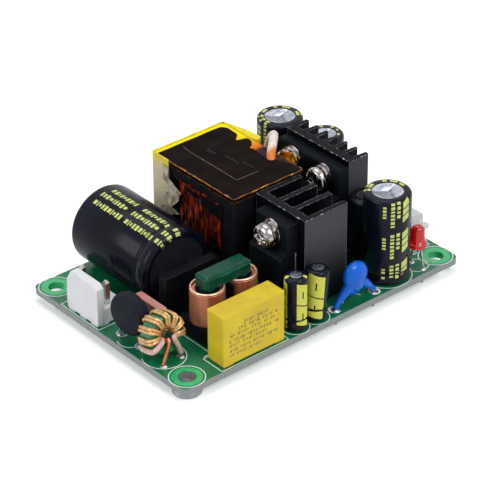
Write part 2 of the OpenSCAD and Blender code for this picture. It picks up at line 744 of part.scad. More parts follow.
// Bar of the choke core with bevelled edges and ends
module core_bar() {
    e = 0.6;
    intersection() {
        rotate([90, 0, 90]) linear_extrude(cmc_l, center = true)
            polygon([[-cmc_w / 2, 0], [cmc_w / 2, 0], [cmc_w / 2, cmc_bar - e],
                [cmc_w / 2 - e, cmc_bar], [-cmc_w / 2 + e, cmc_bar], [-cmc_w / 2, cmc_bar - e]]);
        linear_extrude(cmc_bar) polygon([[-cmc_l / 2 + e, -cmc_w / 2],
            [cmc_l / 2 - e, -cmc_w / 2], [cmc_l / 2, -cmc_w / 2 + e],
            [cmc_l / 2, cmc_w / 2 - e], [cmc_l / 2 - e, cmc_w / 2],
            [-cmc_l / 2 + e, cmc_w / 2], [-cmc_l / 2, cmc_w / 2 - e],
            [-cmc_l / 2, -cmc_w / 2 + e]]);
        rotate([90, 0, 0]) linear_extrude(cmc_w, center = true)
            polygon([[-cmc_l / 2, 0], [cmc_l / 2, 0], [cmc_l / 2, cmc_bar - e],
                [cmc_l / 2 - e, cmc_bar], [-cmc_l / 2 + e, cmc_bar], [-cmc_l / 2, cmc_bar - e]]);
    }
}

module line_choke_core() {
    rise = cmc_wind_z + cmc_h - cmc_core_z;   // bar underside above the core underside
    color("seagreen") translate([cmc_x, cmc_y, cmc_core_z]) {
        translate([0, 0, cmc_bar]) mirror([0, 0, 1]) core_bar();
        translate([0, 0, rise + 0.2]) core_bar();
        for (s = [-1, 1])
            translate([s * leg_x, 0, cmc_bar / 2]) cylinder(d = cmc_leg, h = rise);
    }
}

// Bobbin: a base block open below for the core bar, with a tube round each leg
module line_choke_bobbin() {
    color("black") translate([cmc_x, cmc_y, top]) difference() {
        union() {
            translate([0, 0, cmc_foot]) linear_extrude(cmc_base - cmc_foot)
                round_rect(cmc_base_l, cmc_base_w, 0.8);
            for (s = [-1, 1])
                translate([s * leg_x, 0, cmc_base - eps])
                    cylinder(r = cmc_tube + cmc_wall, h = cmc_h - 0.4);
            for (i = [-1, 1], j = [-1, 1])
                translate([i * (cmc_base_l / 2 - 1.2), j * (cmc_base_w / 2 - 1.2), 0])
                    cylinder(r = 0.7, h = cmc_foot + 0.1);
            translate([-cmc_fin / 2, -cmc_fin_w / 2, cmc_base - eps])
                cube([cmc_fin, cmc_fin_w, cmc_h - 0.4]);
        }
        translate([-cmc_l / 2 - 0.1, -cmc_w / 2 - 0.1, -1])
            cube([cmc_l + 0.2, cmc_w + 0.2, cmc_core_z - top + cmc_bar + 1.05]);
        for (s = [-1, 1])
            translate([s * leg_x, 0, 0]) cylinder(r = cmc_tube, h = cmc_base + cmc_h);
        for (p = cmc_pins)
            translate([p.x - cmc_x, p.y - cmc_y, -1])
                cylinder(d = peg_d + 2 * fit, h = cmc_base - 0.4, $fn = 24);
    }
}

// Coil of edge-wound flat copper with a groove between turns
module edge_winding(x) {
    n = 11;
    bore = cmc_tube + cmc_wall + 0.06;
    r = cmc_od / 2;
    p = (cmc_h - cmc_slack) / n;
    color("chocolate") translate([x, cmc_y, cmc_wind_z + 0.02]) rotate_extrude()
        polygon(concat([[bore, 0]],
            [for (i = [0:n - 1]) each [[r - 0.08, i * p], [r, i * p + 0.1], [r, i * p + p - 0.1]]],
            [[r - 0.08, n * p], [bore, n * p]]));
}

module line_choke_left_winding() { edge_winding(cmc_x - leg_x); }

module line_choke_right_winding() { edge_winding(cmc_x + leg_x); }

module line_choke_pins() {
    color("silver") for (p = choke_leads) wire(p, top + cmc_base - 1.5);
}

// ---------- film capacitor and bridge ----------

// Potted box with softened edges and a foot at each end
module x_capacitor() {
    e = 0.5;
    foot_l = 2.6;
    color("gold") translate([xcap_x, xcap_y, top]) difference() {
        intersection() {
            rotate([90, 0, 90]) linear_extrude(xcap_l, center = true)
                translate([0, xcap_h / 2]) round_rect(xcap_t, xcap_h, e);
            rotate([90, 0, 0]) linear_extrude(xcap_t, center = true)
                translate([0, xcap_h / 2]) round_rect(xcap_l, xcap_h, e);
            linear_extrude(xcap_h) round_rect(xcap_l, xcap_t, e);
        }
        translate([-xcap_l / 2 + foot_l, -xcap_t, -1])
            cube([xcap_l - 2 * foot_l, 2 * xcap_t, xcap_foot + 1]);
        for (s = [-1, 1])
            translate([s * xcap_pitch / 2, 0, -1])
                cylinder(d = stout_lead + 2 * fit, h = 1 + xcap_foot + 1, $fn = 24);
    }
}

module x_capacitor_leads() {
    color("silver") for (p = xcap_leads) wire(p, top + xcap_foot + 0.9);
}

// Flat moulded bridge with one bevelled corner, standing on four leads
module bridge_rectifier() {
    z = top + bridge_gap;
    color("black") translate([bridge_x, bridge_y + bridge_t / 2, z]) difference() {
        rotate([90, 0, 0]) linear_extrude(bridge_t) polygon([[-bridge_l / 2, 0], [bridge_l / 2, 0],
            [bridge_l / 2, bridge_h - bridge_bevel], [bridge_l / 2 - bridge_bevel, bridge_h],
            [-bridge_l / 2, bridge_h]]);
        for (i = [0:3])
            translate([(i - 1.5) * bridge_pitch, -bridge_t / 2, -1])
                cylinder(d = stout_lead + 2 * fit, h = 2.2, $fn = 24);
    }
}

module bridge_wires() {
    color("silver") for (p = bridge_leads) wire(p, top + bridge_gap + 1.1);
}

// ---------- electrolytic capacitors ----------

// Half profile of a can: crimp groove near the mouth, rounded closed end
function groove_z(r) = r > 6 ? 3.4 : 2.1;
function rim_r(r) = r > 6 ? 1.2 : 0.4;
function mouth_r(r) = r - rim_r(r) - 0.2;
function can_wall(r, h) =
    let (g = groove_z(r), w = r > 6 ? 0.7 : 0.4, k = r > 6 ? 0.5 : 0.35, e = r > 6 ? 1.2 : 0.8,
        m = rim_r(r))
    concat(arc([r - m, m], m, -90, 0, 4), [[r, g - w], [r - k, g], [r, g + w]],
        arc([r - e, h - e], e, 0, 90, 5));

// Closed can with an open mouth for the seal and three shallow vent scores in its end
module can(d, h) {
    r = d / 2;
    difference() {
        rotate_extrude() polygon(concat([[0, mouth], [mouth_r(r), mouth], [mouth_r(r), 0]],
            can_wall(r, h), [[0, h]]));
        for (a = [0:120:240])
            rotate(a + 20) translate([0, -0.12, h - 0.12]) cube([r - lip_w - 0.5, 0.24, 1]);
    }
}

// Shrink sleeve: follows the can wall and laps over both ends
module sleeve(d, h) {
    r = d / 2 + fit;
    outer = [for (p = can_wall(r + sleeve_t, h + 2 * sleeve_t + fit)) p - [0, sleeve_t]];
    inner = [for (p = can_wall(r, h + fit)) p];
    n = len(inner);
    rotate_extrude() polygon(concat([[mouth_r(d / 2) - 0.2, -sleeve_t]], outer,
        [[d / 2 - lip_w - 0.6, h + fit + sleeve_t], [d / 2 - lip_w - 0.6, h + fit]],
        [for (i = [n - 1:-1:0]) inner[i] - [0, fit]], [[mouth_r(d / 2) - 0.2, -fit]]));
}

module seal(d, p, w) {
    difference() {
        cylinder(r = mouth_r(d / 2) - fit, h = mouth - fit);
        for (s = [-1, 1])
            translate([s * p / 2, 0, -1]) cylinder(d = w + 2 * fit, h = mouth + 2, $fn = 24);
    }
}

module upright(c) {
    translate([c.x, c.y, top + cap_foot + sleeve_t + c[2] / 2 * sin(c[4])])
        rotate([0, c[4], 0]) children();
}

module lying() {
    translate([bulk_x, bulk_near, bulk_z]) rotate([-90, 0, 0]) children();
}

module bulk_can() { color("silver") lying() can(bulk_d, bulk_l); }
module bulk_sleeve() { color("midnightblue") lying() sleeve(bulk_d, bulk_l); }
module cap_can(c) { color("silver") upright(c) can(c[2], c[3]); }
module cap_sleeve(c) { color("black") upright(c) sleeve(c[2], c[3]); }

module capacitor_seals() {
    color("dimgray") {
        for (c = UPRIGHT) upright(c) seal(c[2], c[5], c[6] + c[2] * sin(c[4]) * 0.6);
        lying() seal(bulk_d, bulk_pitch, stout_lead);
    }
}

// Straight leads of the upright cans and the bent leads of the bulk capacitor
module capacitor_leads() {
    bend = 0.9;
    color("silver") {
        for (c = UPRIGHT, p = pair(c.x, c.y, c[5], c[6])) wire(p, top + cap_foot + mouth);
        for (p = bulk_leads) {
            wire(p, bulk_z - bend);
            translate([p.x, p.y + bend, bulk_z - bend]) rotate([90, 0, -90])
                rotate_extrude(angle = 90) translate([bend, 0]) circle(d = stout_lead, $fn = 24);
            translate([p.x, p.y + bend, bulk_z]) rotate([-90, 0, 0])
                cylinder(d = stout_lead, h = bulk_near + mouth - 0.1 - p.y - bend, $fn = 24);
        }
    }
}

// ---------- heatsinks ----------

// Tapped holes for the device screws that sit on a mounting face at x
module tapped_holes(x, depth) {
    for (d = DEVICES)
        if (d.x == x)
            translate([x - 1, d.y, screw_z]) rotate([0, 90, 0])
                cylinder(d = screw_d + 2 * fit, h = depth + 1);
}

// Socket for the solder pins in the foot of a heatsink
module pin_sockets() {
    for (p = SINK_PINS)
        translate([p.x, p.y, top]) cylinder(d = sink_pin_d + 2 * fit, h = sink_gap + sink_pin_l + 0.2);
}

// Comb extrusion: mounting plate, deep fins with a rounded root, side wall at each end
module primary_heatsink() {
    step = (psink_w - psink_fin) / (psink_fins - 1);
    color([0.1, 0.1, 0.11]) difference() {
        translate([psink_x, psink_front, top + sink_gap]) linear_extrude(sink_h - sink_gap)
            difference() {
                union() {
                    square([psink_plate, psink_w]);
                    for (i = [0:psink_fins - 1])
                        translate([0, i * step]) square([psink_d, psink_fin]);
                }
                for (i = [0:psink_fins - 2])
                    translate([psink_plate + 0.5, i * step + psink_fin + 0.7]) circle(0.7 - eps);
            }
        tapped_holes(psink_x, screw_l);
        pin_sockets();
    }
}

// Comb extrusion with short tapered fins away from the rectifiers
module secondary_heatsink() {
    step = (ssink_w - ssink_root) / (ssink_fins - 1);
    taper = (ssink_root - ssink_tip) / 2;
    color([0.1, 0.1, 0.11]) difference() {
        translate([ssink_x, ssink_y - ssink_w / 2, top + sink_gap])
            linear_extrude(sink_h - sink_gap) union() {
                square([ssink_plate, ssink_w]);
                for (i = [0:ssink_fins - 1])
                    translate([ssink_plate - 0.5, i * step]) polygon([[0, 0],
                        [ssink_d - ssink_plate + 0.3, i == 0 ? 0 : taper],
                        [ssink_d - ssink_plate + 0.5, ssink_root / 2],
                        [ssink_d - ssink_plate + 0.3, i == ssink_fins - 1 ? ssink_root : ssink_root - taper],
                        [0, ssink_root]]);
            }
        tapped_holes(ssink_x, screw_l);
        pin_sockets();
    }
}

module heatsink_pins() {
    color("silver") for (p = SINK_PINS) wire([p.x, p.y, sink_pin_d], top + sink_gap + sink_pin_l);
}

// ---------- power devices ----------

// Fully moulded device: thick body, thin screw tab, bevelled edges, lead sockets
module device_body(d) {
    e = 0.5;
    ledge = dev_h - dev_tab_h;
    color([0.16, 0.16, 0.17]) translate([d.x - grease, d.y, dev_top - dev_h]) difference() {
        translate([0, dev_w / 2, 0]) rotate([90, 0, 0]) linear_extrude(dev_w)
            polygon([[0, 0], [0, dev_h], [-dev_tab_t + e, dev_h], [-dev_tab_t, dev_h - e],
                [-dev_tab_t, ledge + 0.7], [-dev_t + e, ledge], [-dev_t, ledge - e],
                [-dev_t, e], [-dev_t + e, 0]]);
        for (s = [-1, 1])
            translate([-dev_t - 1, s * dev_w / 2, -1]) rotate(45)
                translate([-0.35, -0.35, 0]) cube([0.7, 0.7, dev_h + 2]);
        translate([-dev_t - 1, 0, dev_h - dev_hole]) rotate([0, 90, 0])
            cylinder(d = screw_d + screw_play, h = dev_t + 2);
        for (i = [-1:1])
            translate([grease - dev_lead_x - dev_lead_t / 2 - fit,
                i * dev_pitch - dev_lead_w / 2 - fit, -1])
                cube([dev_lead_t + 2 * fit, dev_lead_w + 2 * fit, 2.2]);
    }
}

module device_leads() {
    low = dev_top - dev_h;
    color("silver") for (d = DEVICES, i = [-1:1])
        translate([d.x - dev_lead_x - dev_lead_t / 2, d.y + i * dev_pitch, 0]) {
            translate([0, -dev_lead_w / 2, -stub_l])
                cube([dev_lead_t, dev_lead_w, low + 1.1 + stub_l]);
            translate([0, -dev_lead_wide / 2, top + 1.2])
                cube([dev_lead_t, dev_lead_wide, low - top - 1.4]);
        }
}

// Pan-head cross-recess screw along +X with its bearing face at the origin
module pan_screw() {
    r = head_d / 2;
    difference() {
        rotate([0, -90, 0]) rotate_extrude()
            polygon(concat([[0, 0], [r, 0]],
                [for (t = [0:15:90]) [0.35 * r + 0.65 * r * cos(t), 0.7 + (head_h - 0.7) * sin(t)]],
                [[0, head_h]]));
        for (a = [0, 90])
            rotate([a, 0, 0]) translate([-head_h - 1, -0.45, -r * 0.62])
                cube([2.3, 0.9, r * 1.24]);
        rotate([0, -90, 0]) translate([0, 0, head_h - 1.5]) cylinder(d1 = 0.6, d2 = 2, h = 1.6);
    }
    rotate([0, 90, 0]) cylinder(d = screw_d, h = screw_l - 0.4);
    translate([screw_l - 0.4, 0, 0]) rotate([0, 90, 0])
        cylinder(d1 = screw_d, d2 = screw_d - 0.8, h = 0.4);
}

// Places its children in front of the screw tab of every device
module at_screws(stand_off) {
    for (d = DEVICES)
        translate([d.x - grease - dev_tab_t - stand_off, d.y, screw_z]) children();
}

module device_screws() { color("silver") at_screws(washer_t + spring_t) pan_screw(); }

module washer_ring(d, t) {
    rotate([0, 90, 0]) difference() {
        cylinder(d = d, h = t);
        translate([0, 0, -1]) cylinder(d = screw_d + screw_play, h = t + 2);
    }
}

module flat_washers() { color("silver") at_screws(washer_t) washer_ring(washer_d, washer_t); }

module spring_washers() {
    color("silver") at_screws(washer_t + spring_t) difference() {
        washer_ring(spring_d, spring_t);
        translate([-1, 0, 0]) rotate([0, 12, 0]) translate([0, -0.25, 1]) cube([3, 0.5, 4]);
    }
}

// ---------- transformer ----------

// Core pair: two plates, a round post, and two legs hollowed to clear the winding
module transformer_core() {
    color([0.13, 0.12, 0.12]) translate([tr_x, tr_y, core_z]) {
        difference() {
            linear_extrude(core_h) round_rect(core_w, core_l, 0.8);
            translate([0, 0, core_plate]) cylinder(d = leg_gap, h = window_h);
            for (s = [-1, 1])
                translate([s * core_w / 2 - 4, -window_w / 2, core_plate])
                    cube([8, window_w, window_h]);
        }
        cylinder(d = post_d, h = core_h);
    }
}

// Bobbin: tube, two flanges and a pin rail along each open side
module transformer_bobbin() {
    low = core_z + core_plate + bob_play;
    high = core_z + core_h - core_plate - bob_play;
    tube_r = post_d / 2 + bob_play + bobbin_wall;
    rail = core_z + core_plate - top - 0.5;
    color([0.09, 0.09, 0.1]) difference() {
        union() {
            translate([tr_x, tr_y, low]) {
                cylinder(r = tube_r, h = high - low);
                for (z = [0, high - low - bobbin_wall])
                    translate([0, 0, z]) cylinder(d = flange_d, h = bobbin_wall);
            }
            for (s = [-1, 1])
                translate([tr_x + s * (core_w / 2 + rail_off), tr_y, top + 0.5]) {
                    linear_extrude(rail + bob_play + bobbin_wall) round_rect(rail_w, rail_l, 0.5);
                    translate([-s * 1.5, 0, rail + bob_play]) linear_extrude(bobbin_wall)
                        square([3, 12], center = true);
                }
        }
        translate([tr_x, tr_y, 0]) cylinder(d = post_d + 2 * bob_play, h = core_top + 1);
        for (p = TR_PINS)
            translate([p.x, p.y, top]) cylinder(d = peg_d + 2 * fit, h = 2.5, $fn = 24);
    }
}

// Wound copper between the flanges, in layers of round wire
module transformer_winding() {
    low = core_z + core_plate + bob_play + bobbin_wall + 0.05;
    high = core_z + core_h - core_plate - bob_play - bobbin_wall - 0.05;
    n = 16;
    p = (high - low) / n;
    r = winding_d / 2 - p / 2;
    color("sienna") translate([tr_x, tr_y, low]) rotate_extrude()
        polygon(concat([[post_d / 2 + bob_play + bobbin_wall + 0.05, 0], [r, 0]],
            [for (i = [0:n - 1]) each arc([r, (i + 0.5) * p], p / 2 - 0.01, -80, 80, 4)],
            [[r, high - low], [post_d / 2 + bob_play + bobbin_wall + 0.05, high - low]]));
}

// Tape cap: over the core top with a skirt round its edge
module transformer_tape() {
    color("darkgoldenrod") translate([tr_x, tr_y, core_top]) {
        translate([0, 0, fit]) linear_extrude(tape_t)
            round_rect(core_w + 2 * (fit + tape_t), core_l + 2 * (fit + tape_t), 1);
        translate([0, 0, -tape_skirt]) linear_extrude(tape_skirt + fit + eps) difference() {
            round_rect(core_w + 2 * (fit + tape_t), core_l + 2 * (fit + tape_t), 1);
            round_rect(core_w + 2 * fit, core_l + 2 * fit, 0.8 + fit);
        }
    }
}

// Tape wrapped round the far side: thin over the core, thick where it bulges over the winding
module transformer_wrap() {
    x0 = core_w / 2 + wrap_off;
    y0 = core_l / 2 + wrap_off;
    low = core_plate + wrap_low;
    far = y0 + wrap_t;
    color("yellow") translate([tr_x, tr_y, core_z + low])
        linear_extrude(core_h - low + wrap_rise) difference() {
            union() {
                translate([-x0 - wrap_t, y0 - wrap_side])
                    square([2 * (x0 + wrap_t), wrap_side + wrap_t]);
                polygon(concat([for (t = [0:10:90])
                    [x0 + wrap_bulge * sin(t), far - (far - wrap_near) * t / 90]],
                    [[x0 + wrap_bulge - 0.3, wrap_near - 0.4], [x0 - 0.5, wrap_near - 0.6],
                        [x0 - 0.5, far]]));
            }
            translate([-x0, -2 * y0]) square([2 * x0, 3 * y0]);
            circle(d = flange_d + 0.2);
        }
}

module transformer_pins() {
    color("silver") for (p = TR_PINS) wire([p.x, p.y, peg_d], top + 2.3);
}

// Sleeved winding end that loops over and down into the board
module transformer_lead() {
    color("mistyrose") {
        path = smooth(LEAD_ROUTE, 4);
        tube(path, [for (p = path) flylead_d], 10, [0, 1, 0]);
        translate([LEAD_ROUTE[9].x, LEAD_ROUTE[9].y, -stub_l])
            cylinder(d = bare_d, h = stub_l + top + 0.4, $fn = 24);
    }
}

// ---------- small parts ----------

// Dipped disc capacitor whose coating runs down the splayed leads
module blue_capacitor() {
    r = ycap_d / 2;
    bulb = ycap_t * 0.8;
    knee = [ycap_pitch / 2 - 1.1, 2.1];
    color("dodgerblue") translate([ycap_x, ycap_y, top]) {
        hull() {
            translate([0, 0, ycap_z]) rotate([90, 0, 0]) scale([1, 1, ycap_t / ycap_d])
                sphere(r, $fn = 24);
            translate([0, 0, ycap_z - r + 0.4]) sphere(d = bulb, $fn = 16);
        }
        for (s = [-1, 1]) {
            hull() {
                translate([s * r * 0.5, 0, ycap_z - r * 0.6]) sphere(d = bulb, $fn = 16);
                translate([s * knee.x, 0, knee.y]) sphere(d = ycap_coat, $fn = 16);
            }
            hull() {
                translate([s * knee.x, 0, knee.y]) sphere(d = ycap_coat, $fn = 16);
                translate([s * ycap_pitch / 2, 0, 0.8]) sphere(d = ycap_coat - 0.3, $fn = 16);
            }
            translate([s * ycap_pitch / 2, 0, -top - stub_l])
                cylinder(d = ycap_lead, h = stub_l + top + 0.9, $fn = 24);
        }
    }
}

// Drum core choke sealed in a shrink tube that folds in over both ends
module drum_choke() {
    r = drum_d / 2;
    color("black") translate([drum_x, drum_y, top + 0.3]) difference() {
        rotate_extrude() polygon(concat([[0, 0.5], [r - 1.8, 0.5], [r - 1.6, 0]],
            arc([r - 0.7, 0.7], 0.7, -90, 0, 4), [[r, 3], [r - 0.25, 4], [r - 0.25, drum_h - 4.5],
            [r, drum_h - 3.4]], arc([r - 1.1, drum_h - 1.1], 1.1, 0, 90, 5),
            [[r - 2, drum_h - 0.1], [r - 2.2, drum_h - 0.7], [0, drum_h - 0.7]]));
        for (s = [-1, 1])
            translate([s * drum_pitch / 2, 0, -1])
                cylinder(d = stout_lead + 2 * fit, h = 3, $fn = 24);
    }
}

module drum_choke_leads() {
    color("silver") for (p = drum_leads) wire(p, top + 2.1);
}

// Round lamp with a flange and a domed end
module indicator_lamp() {
    r = lamp_d / 2;
    flange = r + 0.45;
    color("red") translate([lamp_x, lamp_y, top + lamp_z]) difference() {
        rotate_extrude() polygon(concat([[0, 0], [flange, 0], [flange, 0.9], [r, 1]],
            arc([0, lamp_h - r], r, 0, 90, 8)));
        for (s = [-1, 1])
            translate([0, s * lamp_pitch / 2, -1])
                cylinder(d = lamp_lead + 2 * fit, h = 1.6, $fn = 24);
    }
}

// Lamp leads: straight below the flange, then spread to the board holes
module indicator_leads() {
    color("silver") for (s = [-1, 1]) {
        route = [[lamp_x, lamp_y + s * lamp_foot / 2, -stub_l],
            [lamp_x, lamp_y + s * lamp_foot / 2, top + 1],
            [lamp_x, lamp_y + s * lamp_pitch / 2, top + lamp_z - 1],
            [lamp_x, lamp_y + s * lamp_pitch / 2, top + lamp_z + 0.5]];
        tube(route, [for (p = route) lamp_lead], 8, [1, 0, 0]);
    }
}

// Four-pin optocoupler: bevelled body and folded legs
module optocoupler() {
    leg_t = 0.3;
    leg_w = 0.5;
    knee = 2.2;
    color([0.12, 0.12, 0.13]) {
        translate([opto_x, opto_y + opto_w / 2, top + 0.5]) rotate([90, 0, 0])
            linear_extrude(opto_w) polygon([[-3.1, 0], [3.1, 0], [3.25, opto_h / 2],
                [2.9, opto_h], [-2.9, opto_h], [-3.25, opto_h / 2]]);
        for (s = [-1, 1], i = [-1, 1])
            translate([opto_x, opto_y + i * opto_pitch / 2 - leg_w / 2, 0]) {
                translate([s * opto_row - leg_t / 2, 0, -stub_l])
                    cube([leg_t, leg_w, stub_l + top + knee]);
                translate([s * (opto_row - 0.4) - 0.5, 0, top + knee - leg_t])
                    cube([1, leg_w, leg_t]);
            }
    }
}

// Eight-leg controller on the underside, body and folded legs
module controller_chip() {
    leg_t = 0.2;
    leg_w = 0.4;
    color([0.12, 0.12, 0.13]) mirror([0, 0, 1]) translate([chip_x, chip_y, 0]) {
        translate([0, chip_w / 2, 0.1]) rotate([90, 0, 0]) linear_extrude(chip_w)
            polygon([[-1.85, 0], [1.85, 0], [1.95, 0.7], [1.8, 1.4], [-1.8, 1.4], [-1.95, 0.7]]);
        for (s = [-1, 1], i = [0:3])
            translate([s * 2.4, (i - 1.5) * chip_pitch - leg_w / 2, 0]) {
                translate([-0.6, 0, 0.55]) cube([0.8, leg_w, leg_t]);
                translate([s * 0.2 - 0.1, 0, 0]) cube([leg_t, leg_w, 0.75]);
                translate([s * 0.4 - 0.3, 0, 0]) cube([0.6, leg_w, leg_t]);
            }
    }
}

circuit_board();
earth_spacer();
solder_joints();
inlet_header();
inlet_pins();
output_header();
output_pins();
flat_fuse();
thermistor();
thermistor_leads();
toroid_core();
toroid_winding();
line_choke_core();
line_choke_bobbin();
line_choke_left_winding();
line_choke_right_winding();
line_choke_pins();
x_capacitor();
x_capacitor_leads();
bridge_rectifier();
bridge_wires();  // bridge_leads
bulk_can();
bulk_sleeve();
cap_can(FRONT_CAP);  // front_output_can
cap_sleeve(FRONT_CAP);  // front_output_sleeve
cap_can(REAR_CAP);  // rear_output_can
cap_sleeve(REAR_CAP);  // rear_output_sleeve
cap_can(SIDE_CAP);  // side_output_can
cap_sleeve(SIDE_CAP);  // side_output_sleeve
cap_can(FIRST_CAP);  // first_primary_can
cap_sleeve(FIRST_CAP);  // first_primary_sleeve
cap_can(SECOND_CAP);  // second_primary_can
cap_sleeve(SECOND_CAP);  // second_primary_sleeve
capacitor_seals();
capacitor_leads();
primary_heatsink();
secondary_heatsink();
heatsink_pins();
device_body(DEVICES[0]);  // primary_switch
device_body(DEVICES[1]);  // front_rectifier
device_body(DEVICES[2]);  // rear_rectifier
device_leads();
device_screws();
spring_washers();
flat_washers();
transformer_core();
transformer_bobbin();
transformer_winding();
transformer_tape();
transformer_wrap();
transformer_pins();
transformer_lead();
blue_capacitor();
drum_choke();
drum_choke_leads();
indicator_lamp();
indicator_leads();
optocoupler();
controller_chip();
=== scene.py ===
"""Looks of an open frame power supply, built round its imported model.

Every class below holds one sub-assembly: its sizes in millimetres, the meshes that it adds and the
finishes of its pieces. Finishes are small classes that write procedural materials.
"""

import logging
import math
from dataclasses import dataclass
from enum import Enum
from typing import Callable, Sequence

import bmesh
import bpy
import numpy as np
from mathutils import Matrix, Vector


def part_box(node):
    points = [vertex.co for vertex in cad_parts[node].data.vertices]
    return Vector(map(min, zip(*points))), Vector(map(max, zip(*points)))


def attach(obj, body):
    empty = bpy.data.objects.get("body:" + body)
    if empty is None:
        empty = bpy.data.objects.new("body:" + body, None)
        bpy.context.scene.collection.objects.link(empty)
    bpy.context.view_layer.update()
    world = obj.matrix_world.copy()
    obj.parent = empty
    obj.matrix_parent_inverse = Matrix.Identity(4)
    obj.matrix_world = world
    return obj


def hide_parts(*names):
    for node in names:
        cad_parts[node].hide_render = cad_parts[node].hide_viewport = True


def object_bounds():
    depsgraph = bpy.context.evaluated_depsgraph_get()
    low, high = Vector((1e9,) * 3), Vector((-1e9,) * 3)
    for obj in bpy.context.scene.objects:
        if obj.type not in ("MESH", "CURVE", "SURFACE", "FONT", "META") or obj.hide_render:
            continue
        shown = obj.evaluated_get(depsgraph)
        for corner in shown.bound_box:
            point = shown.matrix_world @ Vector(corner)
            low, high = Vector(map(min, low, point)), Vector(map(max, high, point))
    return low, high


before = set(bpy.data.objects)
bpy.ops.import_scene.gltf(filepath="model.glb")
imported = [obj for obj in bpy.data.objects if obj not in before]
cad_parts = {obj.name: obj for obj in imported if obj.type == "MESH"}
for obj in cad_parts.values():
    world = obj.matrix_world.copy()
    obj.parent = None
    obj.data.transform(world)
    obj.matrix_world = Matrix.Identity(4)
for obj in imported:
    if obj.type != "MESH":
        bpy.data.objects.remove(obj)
CAD_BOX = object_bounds()

log = logging.getLogger("supply")

MM = 0.001
TAU = 2 * math.pi
BOARD_TOP = 1.6                      # upper face of the board
PRINT_Z = BOARD_TOP + 0.01           # lower side of its screen print
COPPER_Z = BOARD_TOP + 0.005         # its copper, which lies under mask or solder
STUB = -1.9                          # lower end of the leads that pass the board
HOLES = [(x, y) for x in (-34.6, 34.6) for y in (-21.9, 21.9)]

Array = np.ndarray
Shape = tuple[np.ndarray, np.ndarray]                # points and quads
Tree, Socket, Material = bpy.types.NodeTree, bpy.types.NodeSocket, bpy.types.Material


# ------------------------------ colour and nodes


def linear(code: str) -> tuple[float, float, float, float]:
    """Turns six hex digits of sRGB into the linear red, green, blue and alpha of Blender."""
    parts = [int(code[i:i + 2], 16) / 255 for i in (0, 2, 4)]
    return (*(c / 12.92 if c <= 0.04045 else ((c + 0.055) / 1.055) ** 2.4 for c in parts), 1.0)


def add(tree: Tree, kind: str, links: dict | None = None, **settings: object) -> bpy.types.Node:
    """Adds one node with its settings and links.

    Args:
        tree: node tree that it goes into.
        kind: Blender's name of the node, without the ShaderNode prefix.
        links: input name or number to an output socket, or to a plain value.
        settings: attributes of the node.

    Returns:
        The new node.
    """
    made = tree.nodes.new("ShaderNode" + kind)
    for name, value in settings.items():
        setattr(made, name, value)
    for name, value in (links or {}).items():
        if isinstance(value, Socket):
            tree.links.new(value, made.inputs[name])
        else:
            made.inputs[name].default_value = value
    return made


def blank(owner: Material | bpy.types.World) -> Tree:
    """Empty node tree of a material or of the surroundings.

    Args:
        owner: material or surroundings.

    Returns:
        The empty tree.
    """
    owner.use_nodes = True
    owner.node_tree.nodes.clear()
    return owner.node_tree


class Axis(Enum):
    """How far a pattern is drawn out along an extrusion or a winding."""

    NONE = (1.0, 1.0, 1.0)
    ALONG_Z = (1.0, 1.0, 0.05)
    PARTLY_Z = (1.0, 1.0, 0.3)


